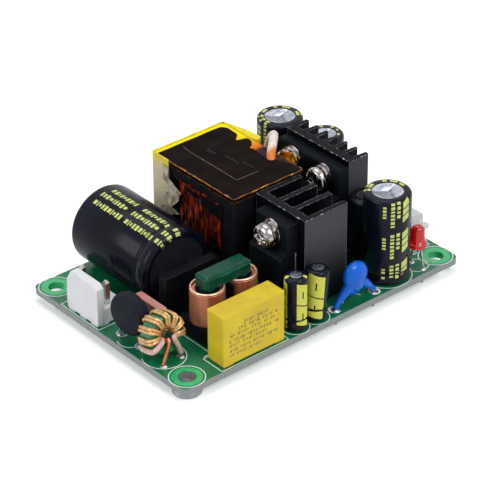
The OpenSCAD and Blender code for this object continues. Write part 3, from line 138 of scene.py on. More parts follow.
@dataclass(frozen=True)
class Finish:
    """A finish: two close colours in blotches, uneven gloss, fine relief and worn edges.

    Lengths are real millimetres. The relief of a satin or moulded face is finer than a render
    shows, so its grain is drawn as coarse as it needs to show.
    """

    name: str
    colour: str
    second: str
    share: float = 0.5               # how much of the second colour shows
    blotch_mm: float = 3.0
    rough: float = 0.45
    rough_swing: float = 0.1
    metallic: float = 0.0
    specular: float = 0.5
    coat: float = 0.0
    coat_rough: float = 0.1
    relief: float = 0.1              # strength of the relief
    relief_mm: float = 0.35          # width of its grain
    drawn: Axis = Axis.NONE
    worn: str = ""                   # colour of the edges
    worn_mm: float = 0.12
    worn_share: float = 0.6
    clear: float = 0.0               # transmission
    glow: float = 0.0                # light passed on inside a milky plastic
    seed: float = 0.0

    def coordinates(self, tree: Tree) -> Socket:
        """Object coordinates in millimetres, drawn out along the finish's direction.

        Args:
            tree: node tree of the material.

        Returns:
            Coordinates of the pattern.
        """
        moved = add(tree, "Mapping", {"Vector": add(tree, "TexCoord").outputs["Object"],
                                      "Scale": [axis / MM for axis in self.drawn.value],
                                      "Location": (self.seed, self.seed * 0.7, -self.seed)})
        return moved.outputs["Vector"]

    def noise(self, tree: Tree, where: Socket, grain_mm: float, detail: float = 3.0) -> Socket:
        """Soft noise whose grain has the given width.

        Args:
            tree: node tree of the material.
            where: coordinates of the pattern, in millimetres.
            grain_mm: width of the grain.
            detail: number of finer layers.

        Returns:
            The noise, from zero to one.
        """
        made = add(tree, "TexNoise", {"Vector": where, "Scale": 1 / grain_mm, "Detail": detail,
                                      "Roughness": 0.55})
        return made.outputs["Fac"]

    def paint(self, tree: Tree, where: Socket) -> Socket:
        """Base colour: the two colours in blotches.

        Args:
            tree: node tree of the material.
            where: coordinates of the pattern, in millimetres.

        Returns:
            The colour.
        """
        ramp = add(tree, "MapRange", {"Value": self.noise(tree, where, self.blotch_mm),
                                      "From Min": 0.35, "From Max": 0.65,
                                      "To Max": self.share * 2})
        mixed = add(tree, "Mix", {0: ramp.outputs["Result"], 6: linear(self.colour),
                                  7: linear(self.second)}, data_type="RGBA")
        return mixed.outputs[2]

    def wear(self, tree: Tree, where: Socket, under: Socket) -> Socket:
        """Lighter edges: where the rounded normal leaves the true one, broken up by noise.

        Args:
            tree: node tree of the material.
            where: coordinates of the pattern, in millimetres.
            under: colour that the wear lies on.

        Returns:
            The colour with its wear.
        """
        if not self.worn:
            return under
        soft = add(tree, "Bevel", {"Radius": self.worn_mm * MM}, samples=4)
        true = add(tree, "NewGeometry")
        same = add(tree, "VectorMath", {0: soft.outputs["Normal"], 1: true.outputs["Normal"]},
                   operation="DOT_PRODUCT")
        edge = add(tree, "MapRange", {"Value": same.outputs["Value"], "From Min": 0.985,
                                      "From Max": 0.86})
        patchy = add(tree, "MapRange", {"Value": self.noise(tree, where, 1.1), "From Min": 0.42,
                                        "From Max": 0.66, "To Min": 0.12 * self.worn_share,
                                        "To Max": self.worn_share})
        both = add(tree, "Math", {0: edge.outputs["Result"], 1: patchy.outputs["Result"]},
                   operation="MULTIPLY")
        mixed = add(tree, "Mix", {0: both.outputs[0], 6: under, 7: linear(self.worn)},
                    data_type="RGBA")
        return mixed.outputs[2]

    def make(self) -> Material:
        """Writes the material.

        Returns:
            The material.
        """
        material = bpy.data.materials.new(self.name)
        tree = blank(material)
        where = self.coordinates(tree)
        rough = add(tree, "MapRange", {"Value": self.noise(tree, where, self.blotch_mm * 0.6),
                                       "From Min": 0.3, "From Max": 0.7,
                                       "To Min": max(0.02, self.rough - self.rough_swing),
                                       "To Max": min(1.0, self.rough + self.rough_swing)})
        bump = add(tree, "Bump", {"Height": self.noise(tree, where, self.relief_mm, 2.0),
                                  "Strength": self.relief, "Distance": 0.02 * MM})
        shader = add(tree, "BsdfPrincipled", {
            "Base Color": self.wear(tree, where, self.paint(tree, where)),
            "Roughness": rough.outputs["Result"], "Metallic": self.metallic,
            "Specular IOR Level": self.specular, "Coat Weight": self.coat,
            "Coat Roughness": self.coat_rough, "Transmission Weight": self.clear,
            "Subsurface Weight": self.glow, "Subsurface Scale": 0.8 * MM,
            "Normal": bump.outputs["Normal"]})
        add(tree, "OutputMaterial", {"Surface": shader.outputs["BSDF"]})
        return material


@dataclass(frozen=True)
class Laminate(Finish):
    """Solder mask over copper on glass laminate: glossy green faces, faint tracks that lie under
    the mask, and pale cut edges where the bare laminate shows its glass layers."""

    cut: str = "949a98"
    layer: str = "6f7674"
    track: str = "11744a"

    def paint(self, tree: Tree, where: Socket) -> Socket:
        """Green where a face looks up or down, pale laminate where it looks sideways.

        Args:
            tree: node tree of the material.
            where: coordinates of the pattern, in millimetres.

        Returns:
            The colour.
        """
        tracks = add(tree, "TexVoronoi", {"Vector": where, "Scale": 0.14, "Randomness": 0.85},
                     feature="F1", distance="MANHATTAN")
        lane = add(tree, "MapRange", {"Value": tracks.outputs["Distance"], "From Min": 0.42,
                                      "From Max": 0.45, "To Max": 0.5})
        green = add(tree, "Mix", {0: lane.outputs["Result"], 6: super().paint(tree, where),
                                  7: linear(self.track)}, data_type="RGBA")
        turn = add(tree, "SeparateXYZ", {0: add(tree, "NewGeometry").outputs["Normal"]})
        up = add(tree, "Math", {0: turn.outputs["Z"]}, operation="ABSOLUTE")
        side = add(tree, "MapRange", {"Value": up.outputs[0], "From Min": 0.6, "From Max": 0.4})
        layers = add(tree, "TexWave", {"Vector": where, "Scale": 1.1, "Distortion": 1.5},
                     bands_direction="Z")
        edge = add(tree, "Mix", {0: layers.outputs["Fac"], 6: linear(self.cut),
                                 7: linear(self.layer)}, data_type="RGBA")
        mixed = add(tree, "Mix", {0: side.outputs["Result"], 6: green.outputs[2],
                                  7: edge.outputs[2]}, data_type="RGBA")
        return mixed.outputs[2]


@dataclass(frozen=True)
class Banded(Finish):
    """A finish whose colour changes along one axis: tinned wires below a dipped body, and a sleeve
    orange near amber film.
    """

    along: str = "Z"
    low: str = "ffffff"
    from_mm: float = 0.0
    to_mm: float = 1.0

    def paint(self, tree: Tree, where: Socket) -> Socket:
        """The low colour up to one place, blending into the base colour at the other.

        Args:
            tree: node tree of the material.
            where: coordinates of the pattern, in millimetres.

        Returns:
            The colour.
        """
        place = add(tree, "SeparateXYZ", {0: add(tree, "TexCoord").outputs["Object"]})
        share = add(tree, "MapRange", {"Value": place.outputs[self.along],
                                       "From Min": self.from_mm * MM,
                                       "From Max": self.to_mm * MM, "To Min": 1.0, "To Max": 0.0})
        mixed = add(tree, "Mix", {0: share.outputs["Result"], 6: super().paint(tree, where),
                                  7: linear(self.low)}, data_type="RGBA")
        return mixed.outputs[2]


# ------------------------------ surfaces


def grid_faces(rows: int, columns: int, wrap: bool = False) -> Array:
    """Quads of a grid of points in row order.

    Args:
        rows: points along the first parameter.
        columns: points along the second.
        wrap: joins the last column to the first.

    Returns:
        One row of four indices for each quad.
    """
    last = columns if wrap else columns - 1
    i, j = np.meshgrid(np.arange(rows - 1), np.arange(last), indexing="ij")
    k = (j + 1) % columns
    quads = np.stack([i * columns + j, i * columns + k, (i + 1) * columns + k,
                      (i + 1) * columns + j], axis=-1)
    return quads.reshape(-1, 4)


def outward(surface: Callable[[Array, Array, float], Array], u: Sequence[float],
            v: Sequence[float], thick: float) -> Shape:
    """A closed thin slab on a surface: the outer grid, the inner grid and a rim between them.

    Args:
        surface: gives points from two parameters and a height above the surface.
        u: values of the first parameter.
        v: values of the second.
        thick: thickness in millimetres, the slab's lower side lying on the surface.

    Returns:
        Points and quads.
    """
    uu, vv = np.meshgrid(np.asarray(u, float), np.asarray(v, float), indexing="ij")
    upper, lower = surface(uu, vv, thick), surface(uu, vv, 0.0)
    rows, columns = uu.shape
    n = rows * columns
    points = np.concatenate([upper.reshape(-1, 3), lower.reshape(-1, 3)])
    top = grid_faces(rows, columns)
    index = np.arange(n).reshape(rows, columns)
    rim = np.concatenate([index[0, :], index[1:, -1], index[-1, -2::-1], index[-2:0:-1, 0]])
    following = np.roll(rim, -1)
    sides = np.stack([rim, rim + n, following + n, following], axis=-1)
    return points, np.concatenate([top, top[:, ::-1] + n, sides])


def joined(parts: Sequence[Shape]) -> Shape:
    """Puts several sets of points and quads into one.

    Args:
        parts: points and quads of each.

    Returns:
        Points and quads.
    """
    starts = np.cumsum([0] + [len(p) for p, _ in parts[:-1]])
    return (np.concatenate([p for p, _ in parts]),
            np.concatenate([q + s for (_, q), s in zip(parts, starts)]))


def sweep(path: Array, radius: Array | float, sides: int = 16) -> Shape:
    """A closed round tube: a circle carried along a path without twist, with flat ends.

    Each ring's frame is the last one's, turned to the new direction.

    Args:
        path: points of the middle line.
        radius: radius at each point, or one for all.
        sides: points of a ring.

    Returns:
        Points and quads, the ends closed by fans of thin quads round a middle point.
    """
    path = np.asarray(path, float)
    radius = np.broadcast_to(np.asarray(radius, float), (len(path),))
    tangent = np.gradient(path, axis=0)
    tangent /= np.linalg.norm(tangent, axis=1, keepdims=True)
    normal = np.cross(tangent[0], [0.3, 0.9, 0.3])
    normals = []
    for t in tangent:
        normal = normal - (normal @ t) * t
        normal /= np.linalg.norm(normal)
        normals.append(normal)
    normals = np.array(normals)
    side = np.cross(tangent, normals)
    angle = np.linspace(0, TAU, sides, endpoint=False)
    rings = (path[:, None] + radius[:, None, None] * (
        np.cos(angle)[None, :, None] * normals[:, None] +
        np.sin(angle)[None, :, None] * side[:, None]))
    points = np.concatenate([rings.reshape(-1, 3), path[:1], path[-1:]])
    quads = grid_faces(len(path), sides, wrap=True)
    n = len(path) * sides
    j = np.arange(0, sides, 2)
    first = np.stack([np.full_like(j, n), (j + 2) % sides, j + 1, j], axis=-1)
    last = np.stack([np.full_like(j, n + 1), j, j + 1, (j + 2) % sides], axis=-1)
    last[:, 1:] += n - sides
    return points, np.concatenate([quads, first, last])


def revolve(profile: Sequence[tuple[float, float]], centre: Sequence[float],
            axis: Sequence[float] = (0.0, 0.0, 1.0), sides: int = 64) -> Shape:
    """A closed ring: a profile of (radius, height) points turned round an axis.

    Args:
        profile: closed outline, without the first point repeated, anticlockwise as seen with the
            radius to the right and the height upwards.
        centre: foot of the axis.
        axis: direction of the axis.
        sides: points of a ring.

    Returns:
        Points and quads.
    """
    up = np.asarray(axis, float)
    across = np.cross(up, [0.0, 1.0, 0.0] if abs(up[1]) < 0.9 else [0.0, 0.0, 1.0])
    across /= np.linalg.norm(across)
    third = np.cross(up, across)
    r, h = np.array(profile, float).T
    angle = np.linspace(0, TAU, sides, endpoint=False)
    points = (np.asarray(centre, float) + h[:, None, None] * up +
              r[:, None, None] * (np.cos(angle)[None, :, None] * across +
                                  np.sin(angle)[None, :, None] * third))
    rows = len(r)
    quads = grid_faces(rows + 1, sides, wrap=True) % (rows * sides)
    return points.reshape(-1, 3), quads


def smooth_path(points: Sequence[Sequence[float]], steps: int) -> Array:
    """Catmull-Rom curve through chosen points: each span blends its four neighbours' cubic.

    Args:
        points: chosen points of the curve.
        steps: points worked out for each span.

    Returns:
        Points of the curve.
    """
    p = np.asarray(points, float)
    padded = np.concatenate([p[:1], p, p[-1:]])
    t = np.linspace(0, 1, steps, endpoint=False)[None, :, None]
    a, b, c, d = (padded[i:len(p) - 1 + i][:, None] for i in range(4))
    spans = 0.5 * (2 * b + (c - a) * t + (2 * a - 5 * b + 4 * c - d) * t ** 2 +
                   (3 * b - a - 3 * c + d) * t ** 3)
    return np.concatenate([spans.reshape(-1, p.shape[1]), p[-1:]])


def flat_ribbon(line: Sequence[Sequence[float]], width: float, z: float,
                thick: float = 0.02) -> Shape:
    """A closed flat ribbon of one width along a line of (x, y) points at height z.

    Args:
        line: points (x, y) along the ribbon.
        width: width of the ribbon.
        z: height of its lower side.
        thick: thickness.

    Returns:
        Points and quads.
    """
    p = np.asarray(line, float)
    step = np.gradient(p, axis=0)
    step /= np.linalg.norm(step, axis=1, keepdims=True)
    side = np.stack([-step[:, 1], step[:, 0]], axis=1) * width / 2
    table = np.stack([p - side, p + side], axis=1)

    def surface(i: Array, j: Array, height: float) -> Array:
        """Point on the ribbon: row i of the line, side j."""
        xy = table[i.astype(int), j.astype(int)]
        return np.concatenate([xy, np.full(xy.shape[:-1] + (1,), z + height)], axis=-1)

    return outward(surface, np.arange(len(p)), [0, 1], thick)


def sheet(surface: Callable[[Array, Array, float], Array], columns: int, rows: int,
          thick: float) -> Shape:
    """A slab over a surface whose two parameters both run from zero to one."""
    return outward(surface, np.linspace(0, 1, columns), np.linspace(0, 1, rows), thick)


def circle(x: float, y: float, r: float, start: float = 0, end: float = 360,
           n: int = 48) -> Array:
    """Points of a circle or arc in degrees."""
    a = np.radians(np.linspace(start, end, n))
    return np.stack([x + r * np.cos(a), y + r * np.sin(a)], axis=1)


def link(name: str, data: bpy.types.ID) -> bpy.types.Object:
    """Makes an object for its data, in the scene.

    Args:
        name: name of the object.
        data: camera, lamp or mesh that it shows.

    Returns:
        The object.
    """
    made = bpy.data.objects.new(name, data)
    bpy.context.scene.collection.objects.link(made)
    return made


def put(name: str, shape: Shape, finish: Finish | Material, smooth: bool = True,
        replaces: Sequence[str] = ()) -> None:
    """Makes a piece from points in millimetres and hangs it on the one body.

    Args:
        name: name of the piece.
        shape: points and quads.
        finish: finish, or a material made already.
        smooth: shades it smooth where faces meet at less than 40 degrees.
        replaces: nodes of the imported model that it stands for.
    """
    points, quads = shape
    mesh = bpy.data.meshes.new(name)
    mesh.from_pydata((points * MM).tolist(), [], quads.tolist())
    mesh.validate()
    work = bmesh.new()
    work.from_mesh(mesh)
    bmesh.ops.recalc_face_normals(work, faces=work.faces)
    work.to_mesh(mesh)
    work.free()
    hang(mesh, finish, smooth, replaces)


def hang(mesh: bpy.types.Mesh, finish: Finish | Material, smooth: bool = True,
         replaces: Sequence[str] = ()) -> None:
    """Hangs a mesh on the one body as a piece of its own name, shaded and with its finish.

    Args:
        mesh: mesh with the piece's name, in metres.
        finish: finish, or a material made already.
        smooth: shades it smooth where faces meet at less than 40 degrees.
        replaces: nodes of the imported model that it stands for.
    """
    mesh.update()
    piece = link(mesh.name, mesh)
    if smooth:
        mesh.shade_smooth()
        mesh.set_sharp_from_angle(angle=math.radians(40))
    mesh.materials.append(finish.make() if isinstance(finish, Finish) else finish)
    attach(piece, "root")
    if replaces:
        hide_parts(*replaces)
    log.info("%s: %d points", mesh.name, len(mesh.vertices))


def smoothed(finish: Finish, slot: str, *names: str) -> Material:
    """Stands a merged copy for each node, so that its round faces are shaded smooth.

    Args:
        finish: finish of the copies.
        slot: not used.
        names: names of the nodes, which the copies replace.

    Returns:
        The material.
    """
    material = finish.make()
    for name in names:
        work = bmesh.new()
        work.from_mesh(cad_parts[name].data)
        bmesh.ops.remove_doubles(work, verts=work.verts, dist=0.001 * MM)
        mesh = bpy.data.meshes.new(name + "_round")
        work.to_mesh(mesh)
        work.free()
        mesh.materials.clear()
        hang(mesh, material, replaces=(name,))
    return material


def dress(finish: Finish, *names: str) -> None:
    """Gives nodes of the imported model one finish.

    Args:
        finish: finish of the nodes.
        names: names of the nodes.
    """
    material = finish.make()
    for name in names:
        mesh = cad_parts[name].data
        mesh.materials.clear()
        mesh.materials.append(material)
        log.info("%s dressed with %s", name, material.name)


def centre(name: str) -> tuple[Array, Array]:
    """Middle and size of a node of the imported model, in millimetres."""
    low, high = np.array(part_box(name)) / MM
    return (low + high) / 2, high - low


# ------------------------------ shared finishes

# Copper wire, hot dipped in tin: bright grey with a soft, uneven gloss.
TINNED = Finish("copper_wire_tinned", "c9ccd4", "a7abb4", rough=0.24, metallic=1.0, relief=0.15,
                blotch_mm=0.8)
# Solder frozen on the pads: bright and slightly grainy.
SOLDER = Finish("solder_reflowed", "d3d6da", "aeb2b8", rough=0.3, metallic=1.0, relief=0.4,
                relief_mm=0.2, blotch_mm=0.7)
# Screen-printed epoxy ink: flat white with thin spots.
SILK = Finish("epoxy_ink_printed_white", "e8ede9", "c3d2c8", rough=0.6, blotch_mm=0.6, share=0.35,
              relief=0.3)
# Ink printed on shrink sleeve: pale yellow-green, thinner in places.
SLEEVE_INK = Finish("sleeve_ink_printed", "cfd67a", "a9b25a", rough=0.5, blotch_mm=0.5, share=0.4)
# Shrink sleeve of polyester film, pulled tight: glossy blue-black.
SLEEVE = Finish("polyester_sleeve_shrunk", "0a0c16", "0f121f", rough=0.24, rough_swing=0.05,
                specular=0.17, blotch_mm=4.0, relief=0.12, relief_mm=0.9)
# Deep-drawn aluminium of a can end: satin, with faint drawing marks.
CAN_ALUMINIUM = Finish("aluminium_deep_drawn", "c9cbd6", "9ea2b2", rough=0.3, metallic=1.0,
                       relief=0.35, relief_mm=0.5, blotch_mm=1.2)
# Moulded epoxy of the power devices: dark and matt, with pale edges painted as highlights.
EPOXY = Finish("epoxy_moulded_black", "0a0d12", "10141a", rough=0.5, specular=0.07,
               blotch_mm=1.4, relief=0.35, relief_mm=0.18, worn="444b55", worn_mm=0.2,
               worn_share=0.55)
# Nylon bobbins and blocks, moulded black.
BLACK_NYLON = Finish("nylon_moulded_black", "08090c", "0d0e12", rough=0.42, specular=0.11,
                     blotch_mm=1.6, relief=0.2, worn="2e343c", worn_share=0.4)


# ------------------------------ the board


@dataclass
class Board:
    """The board with its solder mask, screen print and the solder on its pads."""

    ring_in: float = 1.95            # copper under the mask round a mounting hole
    ring_out: float = 3.25
    ring_silk: float = 3.75          # white ring round it
    bore: float = 1.8                # radius of the hole
    line_w: float = 0.22             # width of a printed line
    tick_w: float = 0.286            # width of a reference tick
    tick: float = 1.5                # length of it
    # Copper under the mask: the same green, brighter, with the metal's sheen below.
    copper: Finish = Finish("solder_mask_over_copper", "12a05c", "1cb46c", rough=0.28, coat=0.5,
                            blotch_mm=1.5)

    def outlines(self) -> list[Array]:
        """Lines of the screen print: rings and arcs round upright parts, boxes round the rest.

        Returns:
            Points of each line.
        """
        lines = [circle(x, y, self.ring_silk) for x, y in HOLES]
        for name, off in (("x_capacitor", (0.75, 0.3)), ("inlet_header", (0.35, 0.6)),
                          ("output_header", (0.2, 0.5))):
            middle, size = centre(name)
            lines.append(self.outline(middle, size[:2] / 2 + off))
        for name, half in (("flat_fuse", (1.6, 4.7)), ("line_choke_bobbin", (8.6, 5.1))):
            lines.append(self.outline(centre(name)[0], half))
        for name, off in (("front_output", 0.55), ("rear_output", 0.5), ("side_output", 0.5),
                          ("first_primary", 0.45), ("second_primary", 0.4)):
            middle, size = centre(f"{name}_sleeve")
            lines.append(circle(*middle[:2], size[1] / 2 + off))
        # node, step along Y, radius, first and last degree, points
        for name, dy, r, start, end, n in (("toroid_core", -0.6, 4.6, 150, 395, 48),
                                           ("thermistor", -3.1, 1.15, 0, 360, 24),
                                           ("thermistor", 3.1, 1.15, 0, 360, 24),
                                           ("thermistor", 0.0, 2.9, 150, 260, 24),
                                           ("indicator_lamp", 0.0, 2.5, -60, 240, 48),
                                           ("blue_capacitor", 0.0, 2.6, 20, 160, 48)):
            x, y, _ = centre(name)[0]
            lines.append(circle(x, y + dy, r, start, end, n))
        x, y, _ = centre("indicator_lamp")[0]
        return lines + [np.array([[x + 1.2, y - 2.2], [x - 1.2, y - 2.2]])]

    def ticks(self) -> list[Array]:
        """Short reference ticks beside the parts, along X and then along Y.

        Returns:
            Points of each line.
        """
        lines = []
        for step, places in (((self.tick, 0), ((-31.5, 0.6), (-27.6, -18.8), (13.8, -23.9),
                                               (31.0, -18.4))),
                             ((0, self.tick), ((-30.9, -9.0), (-26.2, -20.3), (24.9, -13.6)))):
            lines += [np.array([place, np.add(place, step)]) for place in places]
        return lines

    def outline(self, middle: Sequence[float], half: Sequence[float]) -> Array:
        """A closed box outline with half-lengths along X and Y, its corners doubled to stay
        sharp.

        Args:
            middle: middle of the box.
            half: half-lengths along X and Y.

        Returns:
            Points of the line.
        """
        corners = np.array([[-1, -1], [1, -1], [1, 1], [-1, 1], [-1, -1]]) * half
        steps = np.linspace(corners[:-1], corners[1:], 8)
        return np.asarray(middle)[:2] + np.swapaxes(steps, 0, 1).reshape(-1, 2)

    def build(self) -> None:
        """Prints the board, puts copper under the mask and solder round the leads."""
        # Solder mask, screened over etched copper: glossy deep green, with paler cut edges.
        dress(Laminate("laminate_masked_green", "086340", "0a7047", rough=0.3, specular=0.3,
                       coat=0.2, blotch_mm=6.0, relief=0.2, relief_mm=0.9), "circuit_board")
        dress(SOLDER, "solder_joints")
        # Steel, nickel plated: a plain bright grey.
        dress(Finish("steel_spacer_nickelled", "c4c6c8", "9fa2a6", rough=0.3, metallic=1.0),
              "earth_spacer")
        ink = SILK.make()
        put("screen_print", joined(
            [flat_ribbon(line, width, PRINT_Z) for width, lines in
             ((self.line_w, self.outlines()), (self.tick_w, self.ticks())) for line in lines]),
            ink)
        x, y, _ = centre("blue_capacitor")[0]
        pad, thick, bore = 1.35, 0.02, 0.35
        put("white_pads", joined([
            revolve([(bore, PRINT_Z), (pad, PRINT_Z), (pad, PRINT_Z + thick),
                     (bore, PRINT_Z + thick)], (x + dx, y + dy, 0), sides=40)
            for dx, dy in ((-5.5, 0.35), (5.6, 0.0))]), ink)
        wire = np.array([[-3.0, -18.8, z] for z in (-1.0, BOARD_TOP, 6.0, 12.0, 16.4)])
        put("upright_link_wire", sweep(wire, 0.17, 12), TINNED)
        put("masked_copper_rings", joined([self.annulus(x, y) for x, y in HOLES]), self.copper)
        put("pad_blobs", joined(self.blobs()), SOLDER)

    def annulus(self, x: float, y: float) -> Shape:
        """A thin flat copper ring round a hole; the open holes are lined with copper too.

        Args:
            x: middle of the hole along X.
            y: middle of the hole along Y.

        Returns:
            Points and quads.
        """
        z, top, out = COPPER_Z, COPPER_Z + 0.02, self.ring_out
        if x < 0 and y < 0:              # the spacer stands in this hole
            profile = [(self.ring_in, z), (out, z), (out, top), (self.ring_in, top)]
        else:
            wall, lining = self.bore - 0.05, self.bore - 0.005
            profile = [(wall, 0.1), (lining, 0.1), (lining, z), (out, z), (out, top),
                       (wall, top)]
        return revolve(profile, (x, y, 0))

    def blobs(self) -> list[Shape]:
        """Solder that has wetted the pads on the upper side: low cones round the leads.

        Returns:
            Points and quads of each cone.
        """
        spots = [(x, y, radius) for name, radius in (("toroid_winding", 0.55),
                                                     ("thermistor_leads", 0.5))
                 for x, y in self.feet(name)]
        drop, lamp = centre("blue_capacitor")[0], centre("indicator_leads")[0]
        for s in (-1, 1):
            spots += [(drop[0] + 5.3 * s, drop[1], 0.75), (lamp[0], lamp[1] + 1.8 * s, 0.5)]
        z = COPPER_Z
        return [revolve([(0.3, z), (r + 0.35, z), (r + 0.3, z + 0.05), (0.32, z + 0.3)],
                        (x, y, 0), sides=24) for x, y, r in spots]

    def feet(self, name: str) -> list[tuple[float, float]]:
        """Places where a node's leads pass the board: the middles of its points below the board,
        sorted into squares.

        Args:
            name: name of the node.

        Returns:
            Places as (x, y).
        """
        mesh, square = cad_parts[name].data, 3.0
        points = np.zeros(len(mesh.vertices) * 3)
        mesh.vertices.foreach_get("co", points)
        points = points.reshape(-1, 3) / MM
        low = points[points[:, 2] < -1.0][:, :2]
        keys = np.unique(np.round(low / square), axis=0)
        return [tuple(low[(np.abs(low / square - k) <= 0.5).all(1)].mean(0)) for k in keys]


# ------------------------------ headers, fuse, thermistor


@dataclass
class SmallMoulded:
    """Headers, fuse, thermistor, bridge and chips: moulded pieces that keep their own solids."""

    def build(self) -> None:
        """Dresses the moulded pieces and their leads."""
        # Natural nylon, moulded: milky white, with light passing into it.
        dress(Finish("nylon_moulded_natural", "dcdcde", "d5d6d9", rough=0.42, glow=0.35,
                     relief=0.1, blotch_mm=3.2, worn="f6f6f6", worn_share=0.4), "inlet_header")
        # Grey nylon, moulded: less milky, with paler corners.
        dress(Finish("nylon_moulded_grey", "cfd3d2", "bcc1c1", rough=0.45, glow=0.25,
                     relief=0.2, blotch_mm=2.0, worn="e9ebea", worn_share=0.4), "output_header")
        # Brass pins, tinned: bright, with fine lines drawn along them.
        dress(Finish("brass_pin_tinned", "d4d3d2", "a9a8a9", rough=0.2, metallic=1.0,
                     drawn=Axis.ALONG_Z, relief=0.2, worn="f2efe9"), "inlet_pins", "output_pins")
        # Polyester case, moulded in salmon: satin, with paler corners.
        dress(Finish("polyester_case_salmon", "bd7a72", "c98a80", rough=0.5, glow=0.1,
                     relief=0.35, relief_mm=0.25, worn="dca79c"), "flat_fuse")
        # Phenolic resin, dipped: near black, matt and slightly lumpy.
        smoothed(Finish("phenolic_dip_dark", "12151d", "181c25", rough=0.6, specular=0.12,
                        blotch_mm=2.6, relief=0.5, relief_mm=0.45), "thermistor_coat",
                 "thermistor")
        dress(TINNED, "thermistor_leads", "bridge_leads", "x_capacitor_leads", "capacitor_leads",
              "indicator_leads", "transformer_pins", "line_choke_pins", "drum_choke_leads",
              "heatsink_pins", "device_leads")
        # Moulded epoxy whose corners are painted pale as highlights, which draw its outline.
        dress(Finish("epoxy_moulded_bridge", "090b0f", "0e1015", rough=0.4, specular=0.12,
                     blotch_mm=1.8, relief=0.25, worn="59606b", worn_share=0.6, worn_mm=0.16),
              "bridge_rectifier")
        dress(EPOXY, "optocoupler", "controller_chip")
        # Pressed rubber: matt black.
        dress(Finish("rubber_seal_pressed", "101116", "17191f", rough=0.75, specular=0.15,
                     relief=0.5, relief_mm=0.3), "capacitor_seals")


# ------------------------------ toroid


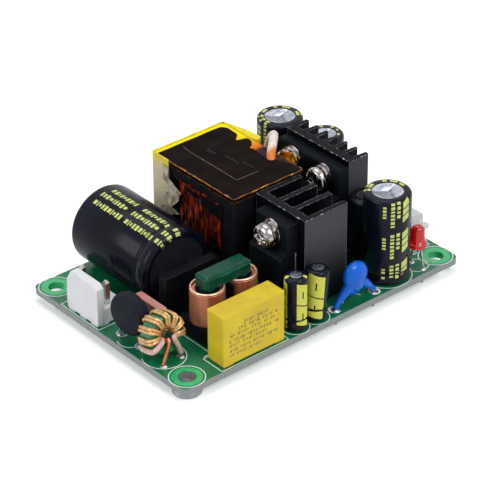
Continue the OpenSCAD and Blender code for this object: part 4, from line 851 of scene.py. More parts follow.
@dataclass
class Toroid:
    """Ferrite ring with one enamelled wire wound through it in pairs of turns. The wire starts in
    the middle, comes out at the front to its pad, and its first turn and second lead wear sleeves.
    """

    outer: float = 8.3               # diameters and width of the ring
    inner: float = 4.8
    height: float = 3.6
    wire: float = 0.6                # width of the bare wire
    shown: float = 0.74              # with the enamel and varnish on the wire
    sleeve: float = 1.15             # width of the sleeves
    turns: int = 15
    lean: float = 10.0               # lean of the ring, in degrees
    play: float = 0.12               # gap between ring and wire
    start_angle: float = 213.0       # angle round the ring of the first turn, in degrees
    span: float = 234.0              # angle that all the turns take up
    pair: float = 3.4                # sway of a turn towards its neighbour, in degrees
    layer: float = 0.45              # how much deeper every second turn lies in the hole
    square: float = 0.55             # power that squares the turns' section
    place: tuple[float, float] = (-33.5, -12.6)

    @property
    def last(self) -> float:
        """Turn number at which the wire leaves the ring."""
        return self.turns - 1 / 6

    def middle(self) -> Array:
        """Centre of the ring: the lowest turn lies 0.35 mm above the board.

        Returns:
            The point.
        """
        a = math.radians(self.lean)
        z = (BOARD_TOP + 0.35 + self.wire + self.outer / 2 * math.cos(a)
             + self.height / 2 * math.sin(a))
        return np.array([*self.place, z])

    def world(self, local: Array) -> Array:
        """Turns ring coordinates, whose third axis is the ring's own, into board coordinates.

        Args:
            local: points in ring coordinates.

        Returns:
            Points in board coordinates.
        """
        a = math.radians(90 - self.lean)
        x, y, z = np.moveaxis(np.asarray(local, float), -1, 0)
        return self.middle() + np.stack([x, y * math.cos(a) - z * math.sin(a),
                                         y * math.sin(a) + z * math.cos(a)], axis=-1)

    def turn_points(self, t: Array, width: float) -> Array:
        """Middle line of the wire at turn number t.

        The wire runs round a section that is a square with soft corners: cosine and sine of the
        turn are raised to a power below one. Its angle round the ring falls steadily, sways so
        that turns lie in pairs, and every second turn lies deeper in the hole.

        Args:
            t: turn numbers, counted from the start of the wire.
            width: width of the wire or its sleeve.

        Returns:
            Points of the middle line.
        """
        th = TAU * t
        c, s = np.cos(th), np.sin(th)
        share = t / self.last
        mid = (self.outer + self.inner) / 4
        a = ((self.outer - self.inner) / 4 + width / 2 + self.play
             + self.layer * (1 - np.cos(th / 2)) / 2 * np.maximum(0, c))
        b = self.height / 2 + width / 2 + self.play
        r = mid - a * np.sign(c) * np.abs(c) ** self.square
        phi = np.radians(self.start_angle - self.span * share
                         + 20 * np.maximum(0, 1 - 2 * t) ** 2 + self.pair * np.sin(th / 2))
        z = -b * np.sign(s) * np.abs(s) ** self.square
        return self.world(np.stack([r * np.cos(phi), r * np.sin(phi), z], axis=-1))

    def build(self) -> None:
        """Winds the wire and sleeves it."""
        # Ferrite, coated with green epoxy: satin green between the turns.
        dress(Finish("ferrite_coated_green", "12683c", "1f8048", rough=0.32, coat=0.3,
                     blotch_mm=1.6, relief=0.3), "toroid_core")
        x, y = self.place
        first = np.array([x - 2.2, y - 3.3, 0.0])
        second = np.array([x + 2.6, y - 2.9, 0.0])
        start = self.world(np.array([-0.5, -0.4, self.height / 2 + 0.9]))
        finish = self.world(np.array([0.6, -0.3, self.height / 2 + 1.5]))
        up, stub = np.array([0, 0, 1.0]), np.array([0, 0, STUB])
        t = np.linspace(0.94, self.last, self.turns * 40)
        turns = self.turn_points(t, self.wire)
        bend = (start + first + up * (BOARD_TOP + 1.5)) / 2 + [0.2, -0.3, 0]
        lead = smooth_path([first + stub, first + up * 1.8, first + up * 2.1, bend, start,
                            self.turn_points(np.array([0.05]), self.sleeve)[0]], 10)
        tail_line = smooth_path([turns[-1], finish, (finish + second + up * 2.8) / 2,
                                 second + up * 2.6], 10)
        # Copper wire, enamelled: golden, with a glossy coat.
        gold = Finish("copper_wire_enamelled", "b98446", "ddb272", rough=0.24, metallic=0.5,
                      coat=0.7, coat_rough=0.06, relief=0.1, blotch_mm=0.9, seed=3.0)
        # Copper wire, stripped of its enamel: redder, duller metal.
        red = Finish("copper_wire_bared", "c4613f", "d98a66", rough=0.28, metallic=1.0,
                     relief=0.2, blotch_mm=0.6)
        # Silicone sleeve, extruded: pale pink and soft.
        pink = Finish("silicone_sleeve_pale", "dcb9b2", "c79a92", rough=0.55, glow=0.2,
                      relief=0.25, blotch_mm=0.8)
        put("toroid_turns", sweep(turns, self.shown / 2, 12), gold,
            replaces=("toroid_winding",))
        put("toroid_first_turn", sweep(self.turn_points(np.linspace(0.05, 0.93, 60), self.sleeve),
                                       self.sleeve / 2, 16), pink)
        put("toroid_first_lead", sweep(lead, self.wire / 2 + 0.1, 14), red)
        put("toroid_second_sleeve", sweep(tail_line, self.sleeve / 2 * 0.92, 16), pink)
        bare = smooth_path([second + up * 2.7, second + up * 2.1, second + up * 1.2,
                            second + stub], 8)
        put("toroid_second_end", sweep(bare, self.wire / 2, 14), red)


# ------------------------------ line choke and film capacitor


@dataclass
class LineChoke:
    """Coated ferrite core with two edge-wound coils on a black bobbin."""

    coil_r: float = 3.75
    hole_r: float = 2.6
    pitch: float = 0.5
    groove: float = 0.02             # half the depth between turns
    bevel: float = 0.1               # height of the soft corner at each end
    rim: float = 0.27                # radius of the last turn's rounded edge

    def build(self) -> None:
        """Dresses the core, bobbin and coils, and lays the enamelled end turn on each coil."""
        # Ferrite, coated with dark teal epoxy: glossy, with far paler edges painted as highlights.
        dress(Finish("ferrite_coated_teal", "023c2b", "044a36", rough=0.2, specular=0.16,
                     blotch_mm=2.2, relief=0.3, relief_mm=0.5, worn="8cc9b8", worn_mm=0.16,
                     worn_share=0.8),
              "line_choke_core")
        dress(BLACK_NYLON, "line_choke_bobbin")
        # Copper strip, enamelled and wound on edge: red-brown, streaked up the coil.
        copper = Finish("copper_strip_enamelled", "b8664e", "d08a6c", rough=0.3, metallic=0.6,
                        drawn=Axis.ALONG_Z, blotch_mm=1.8, share=0.8, relief=0.1).make()
        rims = []
        angle = np.linspace(0, TAU, 12, endpoint=False)
        for name in ("line_choke_left_winding", "line_choke_right_winding"):
            put(f"{name}_turns", self.coil(name), copper, replaces=(name,))
            (x, y, z), size = centre(name)
            rims.append(revolve(np.stack(
                [self.coil_r - self.rim * 1.1 + self.rim * np.cos(angle),
                 z + size[2] / 2 + self.rim * 0.9 + self.rim * np.sin(angle)], axis=1),
                (x, y, 0), sides=72))
        put("choke_end_turns", joined(rims), Finish(
            # The last turn shows its rounded edge, painted palest as a highlight.
            "copper_edge_enamelled", "e2b296", "f0cdb0", rough=0.22, metallic=0.6, coat=0.8,
            coat_rough=0.06, blotch_mm=0.7))

    def coil(self, name: str) -> Shape:
        """Strip wound on edge: the outer profile is a cosine of the turn's pitch, a few
        hundredths deep, and the hole is plain.

        Args:
            name: name of the node that it stands for.

        Returns:
            Points and quads.
        """
        (x, y, middle), size = centre(name)
        low, high = middle - size[2] / 2, middle + size[2] / 2
        outer = min(size[:2]) / 2
        z = np.linspace(low + self.bevel, high - self.bevel, 150)
        r = outer - self.groove * (1 - np.cos(TAU * (z - low) / self.pitch))
        profile = ([(self.hole_r, low + self.bevel), (outer - 0.15, low)] + list(zip(r, z))
                   + [(outer - 0.15, high), (self.hole_r, high - self.bevel)])
        return revolve(profile, (x, y, 0), sides=72)


@dataclass
class FilmCapacitor:
    """Potted yellow box with faint rows of plain bars on its front and slanted lines on top."""

    row_pitch: float = 1.15
    ink: float = 0.012               # thickness of the print
    # Each row of bars: where it begins and ends as a share of the width, and its height.
    rows: tuple[tuple[float, float, float], ...] = (
        (0.33, 0.74, 0.95), (0.24, 0.86, 0.8), (0.10, 0.90, 0.62), (0.09, 0.86, 0.8),
        (0.09, 0.74, 0.62), (0.10, 0.88, 0.7), (0.09, 0.62, 0.62))

    def build(self) -> None:
        """Dresses the box and prints the bars."""
        # Polyester box, moulded: satin yellow, paler at its edges.
        dress(Finish("polyester_box_yellow", "d6be20", "c9ac28", rough=0.36, specular=0.3,
                     blotch_mm=5.0, relief=0.12, worn="efe06a", worn_mm=0.2, worn_share=0.5),
              "x_capacitor")
        box, size = centre("x_capacitor")
        (left, front, foot), top = box - size / 2, box[2] + size[2] / 2
        bars = []
        for row, (begin, end, high) in enumerate(self.rows):
            z = foot + size[2] * 0.80 - self.row_pitch * row
            x, k = left + size[0] * begin, row
            while x < left + size[0] * end:
                wide = (0.5, 0.34, 0.72, 0.42, 0.6)[k % 5]
                tall = high * (1.0, 0.8, 1.0, 0.6)[(k + row) % 4]
                bars.append(self.bar(x, front, z - tall, wide, tall))
                x += wide + (0.22, 0.3, 0.18, 0.75)[k % 4]
                k += 1
        put("film_box_print", joined(bars), Finish(
            # Stamped ink, worn thin: the yellow shows through it.
            "case_ink_faded", "7d6c38", "a5912f", rough=0.5, blotch_mm=0.5, share=0.9),
            smooth=False)
        put("film_box_top_print", joined([
            flat_ribbon([(left + 2.2 + 1.1 * n, front + 1.7), (left + 2.9 + 1.1 * n, front + 3.1)],
                        0.16, top, self.ink) for n in range(11)]),
            # Yellow ink of nearly the case's own colour.
            Finish("case_ink_yellow", "b9a31c", "cdb81f", rough=0.5, blotch_mm=0.5))

    def bar(self, x: float, y: float, z: float, wide: float, tall: float) -> Shape:
        """A flat bar just in front of the front face, from its lower left corner.

        Args:
            x: left edge.
            y: place of the front face.
            z: lower edge.
            wide: width.
            tall: height.

        Returns:
            Points and quads.
        """

        def surface(u: Array, v: Array, height: float) -> Array:
            """Plane in front of the face."""
            return np.stack([u, np.full_like(u, y - 0.004 - height), v], axis=-1)

        return outward(surface, [x, x + wide], [z, z + tall], self.ink)


# ------------------------------ electrolytic capacitors


@dataclass
class Can:
    """A can in its sleeve: places printed marks and the sleeve's folds on its turned profile.

    The profile runs from the lip on one end, round the shoulder and along the wall, and marks are
    placed by the angle round the axis and the length along the profile.
    """

    radius: float
    length: float
    shoulder: float                  # radius of the rounded end that carries the print
    groove: float                    # crimp groove from that end, or zero where it is bare
    foot: tuple[float, float, float] = (0.0, 0.0, 0.0)
    axis: tuple[float, float, float] = (0.0, 0.0, 1.0)
    lip: float = 1.6                 # width of the lip on the end
    foot_groove: float = 0.0         # crimp groove above the other end
    proud: float = 0.012             # how far a mark's lower side lies off the sleeve

    def down(self, depth: float) -> float:
        """Length along the profile at a depth below the printed end."""
        return self.lip - self.shoulder + self.shoulder * math.pi / 2 + depth - self.shoulder

    def profile(self) -> Array:
        """Radius and height along the profile, starting on the lip of the printed end.

        Returns:
            Points (radius, height).
        """
        r, h, e = self.radius, self.length, self.shoulder
        a = np.radians(np.linspace(90, 0, 10))
        bend = np.stack([r - e + e * np.cos(a), h - e + e * np.sin(a)], axis=1)
        wall = [[r, h - e - 0.3]]
        if self.groove:
            wall += [[r, h - self.groove + 0.7], [r - 0.5, h - self.groove],
                     [r, h - self.groove - 0.7]]
        if self.foot_groove:
            wall += [[r, self.foot_groove + 0.4], [r - 0.35, self.foot_groove],
                     [r, self.foot_groove - 0.4]]
        return np.concatenate([[[r - self.lip, h]], bend, wall, [[r, 0.5]]])

    def surface(self, angle: Array, along: Array, height: float) -> Array:
        """Point at an angle in degrees and a length along the profile, raised by a height.

        Args:
            angle: angle round the axis, in degrees.
            along: length along the profile.
            height: height above the surface.

        Returns:
            Points.
        """
        p = self.profile()
        run = np.concatenate([[0], np.cumsum(np.linalg.norm(np.diff(p, axis=0), axis=1))])
        (r, h), (r1, h1), (r2, h2) = ([np.interp(where, run, p[:, i]) for i in (0, 1)]
                                      for where in (along, along - 0.02, along + 0.02))
        scale = np.maximum(np.hypot(r2 - r1, h2 - h1), 1e-9)
        lift = height + self.proud
        r, h = r - lift * (h2 - h1) / scale, h + lift * (r2 - r1) / scale
        across, third = self.across()
        a = np.radians(angle)[..., None]
        return (np.array(self.foot) + h[..., None] * np.array(self.axis)
                + r[..., None] * (np.cos(a) * across + np.sin(a) * third))

    def across(self) -> tuple[Array, Array]:
        """Two directions square to the axis, from which angles are counted.

        Returns:
            The two directions.
        """
        up = np.array(self.axis)
        if abs(up[1]) > 0.9:
            return np.array([1.0, 0.0, 0.0]), np.array([0.0, 0.0, 1.0])
        across = np.array([up[2], 0.0, -up[0]])
        return across, np.cross(up, across)

    def mark(self, angle: tuple[float, float], along: tuple[float, float], slant: float = 0.0,
             thick: float = 0.01) -> Shape:
        """One printed mark: a patch between two angles and two lengths, slanted if asked.

        Args:
            angle: from and to, in degrees.
            along: from and to, along the profile.
            slant: how far the patch leans along the profile from one side to the other.
            thick: thickness of the ink.

        Returns:
            Points and quads.
        """
        u = np.linspace(*angle, max(3, int(abs(angle[1] - angle[0]) / 4) + 2))
        v = np.linspace(*along, max(3, int(abs(along[1] - along[0]) / 0.35) + 2))

        def place(a: Array, s: Array, height: float) -> Array:
            """The can's surface with the slant added."""
            return self.surface(a, s + slant * (a - angle[0]) / (angle[1] - angle[0]), height)

        return outward(place, u, v, thick)


@dataclass
class Electrolytics:
    """The lying bulk capacitor and the five upright ones, with their printed sleeves."""

    bulk_r: float = 8.84             # radius that carries the bulk can's print
    repeat: float = 10.4             # length of one repeat of that print
    shoulder: float = 0.8            # rounded top edge of the upright cans
    lean: float = 4.5                # lean of the second small can, in degrees

    def build(self) -> None:
        """Dresses the cans and prints the sleeves with plain bars and stripes."""
        upright = ("front_output", "rear_output", "side_output", "first_primary",
                   "second_primary")
        smoothed(CAN_ALUMINIUM, "can", "bulk_can", *(f"{n}_can" for n in upright))
        # Polyester film in navy, shrunk on: smooth, with sharp highlights.
        smoothed(Finish("polyester_sleeve_navy", "070913", "0b0e1c", rough=0.2,
                        rough_swing=0.04, specular=0.14, blotch_mm=6.0, relief=0.1,
                        relief_mm=1.2), "bulk_sleeve", "bulk_sleeve")
        smoothed(SLEEVE, "cap_sleeve", *(f"{n}_sleeve" for n in upright))
        put("small_vent_discs", joined(self.small_discs()), CAN_ALUMINIUM)
        ink = SLEEVE_INK.make()
        put("bulk_sleeve_print", joined(self.bulk_marks()), ink)
        put("output_sleeve_print", joined(self.output_marks()), ink)
        put("primary_sleeve_print", joined(self.primary_marks()), Finish(
            # The stripe of the small sleeves is a yellow ink laid on thickly.
            "sleeve_ink_yellow", "cfcf4a", "bfc243", rough=0.5, blotch_mm=0.6, share=0.4))

    def small_discs(self) -> list[Shape]:
        """Bare can ends of the two small cans, up to the cut edge of the sleeve.

        Returns:
            Points and quads of each disc.
        """
        discs = []
        for name, lean, lift in (("first_primary", 0.0, 0.0), ("second_primary", self.lean, 0.14)):
            can = self.upright(name, lean)
            top = can.length + lift
            discs.append(revolve([(0.02, top - 0.4), (1.3, top - 0.4), (1.3, top + 0.02),
                                  (1.15, top + 0.05), (0.02, top + 0.03)], can.foot,
                                 axis=can.axis, sides=40))
        return discs

    def bulk_marks(self) -> list[Shape]:
        """Four repeats of three rows of bars along the upper left side of the bulk can.

        Returns:
            The marks.
        """
        middle, size = centre("bulk_sleeve")
        can = Can(self.bulk_r, size[1], 1.2, 3.4, axis=(0.0, -1.0, 0.0),
                  foot=(middle[0], middle[1] + size[1] / 2, middle[2]))
        marks = []
        for row, (angle, length, top) in enumerate(((86.0, 7.7, 22.0), (101.5, 8.4, 22.8),
                                                    (117.5, 9.3, 22.5))):
            for repeat in (-1, 0, 1, 2):
                first = can.down(top - self.repeat * repeat) + 0.1
                s, k = first, 0
                while s > max(first - length, 0.2):
                    width = (0.72, 0.5, 0.86, 0.6, 0.3)[(k * 2 + row) % 5]
                    tall = (3.9, 4.2, 3.4, 4.2, 2.6)[(k + row) % 5]
                    if s < can.down(24.4):
                        marks.append(can.mark((angle - tall, angle + tall),
                                              (max(s - width, 0.15), s)))
                    s -= width + 0.34
                    k += 1
        return marks

    def upright(self, name: str, lean: float = 0.0) -> Can:
        """A can on the board whose printed end is its top; the lean is towards +X, in degrees.

        Args:
            name: name of its sleeve's node without the last word.
            lean: lean towards +X, in degrees.

        Returns:
            The can.
        """
        middle, size = centre(f"{name}_sleeve")
        tilt = math.radians(lean)
        axis = np.array([math.sin(tilt), 0.0, math.cos(tilt)])
        radius = size[1] / 2
        length = (size[2] - 2 * radius * math.sin(tilt)) / math.cos(tilt)
        return Can(radius, length, self.shoulder, 0.0, foot=tuple(middle - axis * length / 2),
                   axis=tuple(axis), lip=self.shoulder + 0.9, foot_groove=2.4)

    def column(self, can: Can, angle: float, half: float, depth: float, length: float,
               size: float, pitch: float = 7.6, repeats: int = 3) -> list[Shape]:
        """A column of bars down a can: repeats of a run of short marks.

        Args:
            can: can that carries it.
            angle: middle of the column, in degrees.
            half: half its width, in degrees.
            depth: where it starts below the top.
            length: length of one run.
            size: height of the tallest bar.
            pitch: from the start of one run to the next.
            repeats: number of runs.

        Returns:
            The marks.
        """
        marks = []
        for repeat in range(repeats):
            s = can.down(depth) + pitch * repeat
            end = min(s + length, can.length)
            k = repeat
            while s < end - size * 0.5:
                high = size * (0.75, 1.0, 0.6, 0.9)[k % 4]
                marks.append(can.mark((angle - half, angle + half), (s, min(s + high, end))))
                s += high + size * 0.45
                k += 1
        return marks

    def ring(self, can: Can, spans: Sequence[tuple[float, float]], along: tuple[float, float],
             trim: tuple[float, float] = (0, 0)) -> list[Shape]:
        """Arcs of print round a can's top, each shortened by the trim at its two ends."""
        return [can.mark((start + trim[0], end - trim[1]), along) for start, end in spans]

    def output_marks(self) -> list[Shape]:
        """Columns of bars on the three output cans, and a broad stripe of slanted blocks.

        Returns:
            The marks.
        """
        front, rear, side = (self.upright(f"{n}_output") for n in ("front", "rear", "side"))
        marks = []
        for can, *column in ((front, 220.5, 4.2, 1.1, 2.8, 0.62),
                             (front, 240.0, 4.8, 0.3, 6.0, 0.7),
                             (front, 254.5, 4.4, 0.1, 4.6, 0.85),
                             (rear, 166.0, 7.0, 1.3, 5.8, 0.9),
                             (rear, 189.0, 4.0, 0.4, 5.0, 0.7),
                             (side, 30.0, 6.0, 1.5, 5.0, 0.8, 6.3, 2)):
            marks += self.column(can, *column)
        for repeat in range(3):
            s = front.down(0.5 + 7.4 * repeat)
            for high in (1.6, 1.3, 1.4):
                marks.append(front.mark((266, 286), (s, min(s + high, front.length - 0.4)),
                                        slant=-0.7))
                s += high + 0.3
        spans = ((-12, 8), (16, 40), (50, 64), (98, 122), (130, 142))
        marks += self.ring(front, spans, (0.15, 0.8)) + self.ring(front, spans, (1.0, 1.7), (3, 2))
        spans = ((15, 42), (58, 70), (96, 120), (136, 150), (158, 172), (180, 194), (320, 346))
        marks += self.ring(rear, spans, (0.2, 0.85)) + self.ring(rear, spans, (1.1, 1.6), (3, 3))
        return marks + self.ring(side, ((10, 26), (58, 74), (106, 122), (154, 170), (202, 218),
                                        (250, 266), (298, 314), (340, 352)), (0.2, 0.8))

    def primary_marks(self) -> list[Shape]:
        """Broad stripes of slanted blocks on the two small cans, with thin dark gaps.

        Returns:
            The marks.
        """
        marks = []
        for name, lean, stripes in (("first_primary", 0.0, ((156, 186), (234, 296), (20, 60))),
                                    ("second_primary", self.lean, ((182, 268), (30, 90)))):
            can = self.upright(name, lean)
            for stripe, (start, end) in enumerate(stripes):
                middle = (start + end) / 2
                s = can.down(0.25 + 0.5 * stripe)
                last = can.down(can.length - 0.8)
                while s < last - 0.6:
                    stop = min(s + 5.1, last)
                    third = (stop - s) / 3
                    marks.append(can.mark((start, end), (s, s + third), slant=0.9))
                    for sides in ((start, middle - 3.5), (middle + 3.5, end)):
                        lift = 0.9 * (sides[0] - start) / (end - start)
                        marks.append(can.mark(sides, (s + third + lift - 0.02,
                                                      s + 2 * third + lift + 0.02), slant=0.4))
                    marks.append(can.mark((start, end), (s + 2 * third, stop - 0.15), slant=0.9))
                    s = stop + 0.12
            for start in (150, 292):
                marks.append(can.mark((start, start + 22), (0.7, 1.6)))
        return marks


# ------------------------------ heatsinks and devices


@dataclass(frozen=True)
class Anodised(Finish):
    """Black anodised extrusion whose front face is painted paler as lit, and painted darker towards
    the board as shaded.
    """

    # end: colour of the painted light on the front face.
    end: str = "44454a"
    front_mm: float = 0.0            # Y of the front end face, in the shared frame

    def paint(self, tree: Tree, where: Socket) -> Socket:
        """Painted light where the front face looks forward, most of all in its upper part, fading
        to painted shade lower down.

        Args:
            tree: node tree of the material.
            where: coordinates of the pattern, in millimetres.

        Returns:
            The colour.
        """
        turn = add(tree, "SeparateXYZ", {0: add(tree, "NewGeometry").outputs["Normal"]})
        place = add(tree, "SeparateXYZ", {0: add(tree, "TexCoord").outputs["Object"]})
        front = add(tree, "MapRange", {"Value": turn.outputs["Y"], "From Min": -0.7,
                                       "From Max": -0.95})
        high = add(tree, "MapRange", {"Value": place.outputs["Z"], "From Min": 5 * MM,
                                      "From Max": 19 * MM, "To Min": 0.08})
        outer = add(tree, "MapRange", {"Value": place.outputs["Y"],
                                       "From Min": (self.front_mm + 0.12) * MM,
                                       "From Max": (self.front_mm + 0.06) * MM})
        share = front
        for other in (high, outer):
            share = add(tree, "Math", {0: share.outputs[0], 1: other.outputs[0]},
                        operation="MULTIPLY")
        mixed = add(tree, "Mix", {0: share.outputs[0], 6: super().paint(tree, where),
                                  7: linear(self.end)}, data_type="RGBA")
        return mixed.outputs[2]


@dataclass
class Heatsinks:
    """Black anodised extrusions, with the power devices that are screwed to them."""

    def ridges(self) -> None:
        """Front and left top edges of each extrusion, partly rubbed bare and partly painted as
        highlights: a fine bead along both edges, thicker and thinner by a sine wave."""
        beads = []
        for name in ("primary_heatsink", "secondary_heatsink"):
            middle, size = centre(name)
            low, high = middle - size / 2, middle + size / 2
            line = smooth_path([(low[0], high[1] - 0.3, 0), (low[0], middle[1], 0),
                                (low[0], low[1] + 0.3, 0), (low[0] + 0.05, low[1] + 0.05, 0),
                                (low[0] + 0.3, low[1], 0), (middle[0], low[1], 0),
                                (high[0] - 0.3, low[1], 0)], 40)
            line[:, 2] = high[2] - 0.01
            wave = np.sin(line[:, 0] * 2.9 + line[:, 1] * 2.1) + np.sin(line[:, 1] * 5.3)
            beads.append(sweep(line, 0.07 + 0.02 * wave, 10))
        put("worn_and_glinting_ridges", joined(beads), Finish(
            # Bare metal and painted highlight in short stretches, black between them.
            "aluminium_extruded_rubbed_and_glinting", "dfe3ea", "17181d", rough=0.3, metallic=0.5,
            blotch_mm=1.3, share=1.0))

    def build(self) -> None:
        """Dresses the extrusions, devices, screws and washers."""
        for name in ("primary_heatsink", "secondary_heatsink"):
            middle, size = centre(name)
            # Aluminium, extruded and anodised: black faces with bright edges, partly wear and
            # partly painted highlight.
            dress(Anodised("aluminium_extruded_anodised_black", "06070b", "0a0b10", rough=0.42,
                           rough_swing=0.05, specular=0.06, drawn=Axis.ALONG_Z, blotch_mm=2.0,
                           relief=0.18, relief_mm=0.3, worn="eef1f6", worn_mm=0.2,
                           worn_share=0.5, front_mm=middle[1] - size[1] / 2), name)
        self.ridges()
        dress(EPOXY, "primary_switch", "front_rectifier", "rear_rectifier")
        # Steel screws, chromed: like a mirror, with light and dark blotches painted as reflections.
        smoothed(Finish("steel_screw_chromed", "d0c8c4", "807a80", rough=0.11, rough_swing=0.04,
                        metallic=1.0, relief=0.2, relief_mm=0.9, blotch_mm=1.0, share=0.6),
                 "screw", "device_screws", "flat_washers", "spring_washers")


# ------------------------------ transformer


@dataclass(frozen=True)
class TapeCap(Finish):
    """Yellow tape that the dark film leaves bare along the far side, and brown below it."""

    bare: str = "f0e21c"
    deep: str = "d9700a"
    under: str = "35180a"

    def paint(self, tree: Tree, where: Socket) -> Socket:
        """Brown near the front, yellow at the back and on the far part of the right side.

        Args:
            tree: node tree of the material.
            where: coordinates of the pattern, in millimetres.

        Returns:
            The colour.
        """
        face = super().paint(tree, where)
        place = add(tree, "SeparateXYZ", {0: add(tree, "TexCoord").outputs["Object"]}).outputs
        # Shares that rise from the first place to the second, in millimetres along one axis.
        back, right, far, warm, beyond = (
            add(tree, "MapRange", {"Value": place[axis], "From Min": low * MM,
                                   "From Max": high * MM}).outputs[0]
            for axis, low, high in (("Y", 20.6, 21.4), ("X", 8.6, 9.4), ("Y", -1.0, 1.0),
                                    ("Y", 10.0, 16.5), ("Y", 8.6, 9.8)))
        both = add(tree, "Math", {0: right, 1: far}, operation="MULTIPLY")
        bared = add(tree, "Math", {0: back, 1: both.outputs[0]}, operation="MAXIMUM")
        streak = add(tree, "MapRange", {"Value": self.noise(tree, where, 1.2, 4.0),
                                        "From Min": 0.42, "From Max": 0.6})
        tint = add(tree, "Mix", {0: warm, 6: linear(self.deep), 7: linear(self.bare)},
                   data_type="RGBA")
        amber = add(tree, "Mix", {0: streak.outputs[0], 6: face, 7: linear(self.under)},
                    data_type="RGBA")
        tint = add(tree, "Mix", {0: beyond, 6: amber.outputs[2], 7: tint.outputs[2]},
                   data_type="RGBA")
        mixed = add(tree, "Mix", {0: bared.outputs[0], 6: face, 7: tint.outputs[2]},
                    data_type="RGBA")
        return mixed.outputs[2]


@dataclass(frozen=True)
class SideFaded(Finish):
    """Yellow tape whose left side lies under varnished cream cloth, seen from the top edge down."""

    cloth: str = "d3cba9"

    def paint(self, tree: Tree, where: Socket) -> Socket:
        """Cream on the left side below the top edge, yellow elsewhere.

        Args:
            tree: node tree of the material.
            where: coordinates of the pattern, in millimetres.

        Returns:
            The colour.
        """
        place = add(tree, "SeparateXYZ", {0: add(tree, "TexCoord").outputs["Object"]})
        left = add(tree, "MapRange", {"Value": place.outputs["X"], "From Min": -6.0 * MM,
                                      "From Max": -6.6 * MM})
        down = add(tree, "MapRange", {"Value": place.outputs["Z"], "From Min": 23.2 * MM,
                                      "From Max": 21.0 * MM, "To Max": 0.85})
        both = add(tree, "Math", {0: left.outputs["Result"], 1: down.outputs["Result"]},
                   operation="MULTIPLY")
        mixed = add(tree, "Mix", {0: both.outputs[0], 6: super().paint(tree, where),
                                  7: linear(self.cloth)}, data_type="RGBA")
        return mixed.outputs[2]


@dataclass(frozen=True)
class Streaked(Finish):
    """Copper under amber film: a dark and two warm colours in streaks along the wires; the
    brightest streaks are painted glints.
    """

    glint: str = "e0671f"

    def paint(self, tree: Tree, where: Socket) -> Socket:
        """The two base colours with bright streaks of painted glint where the noise is highest.

        Args:
            tree: node tree of the material.
            where: coordinates of the pattern, in millimetres.

        Returns:
            The colour.
        """
        streak = add(tree, "MapRange", {"Value": self.noise(tree, where, 0.9, 4.0),
                                        "From Min": 0.52, "From Max": 0.68})
        mixed = add(tree, "Mix", {0: streak.outputs["Result"], 6: super().paint(tree, where),
                                  7: linear(self.glint)}, data_type="RGBA")
        return mixed.outputs[2]


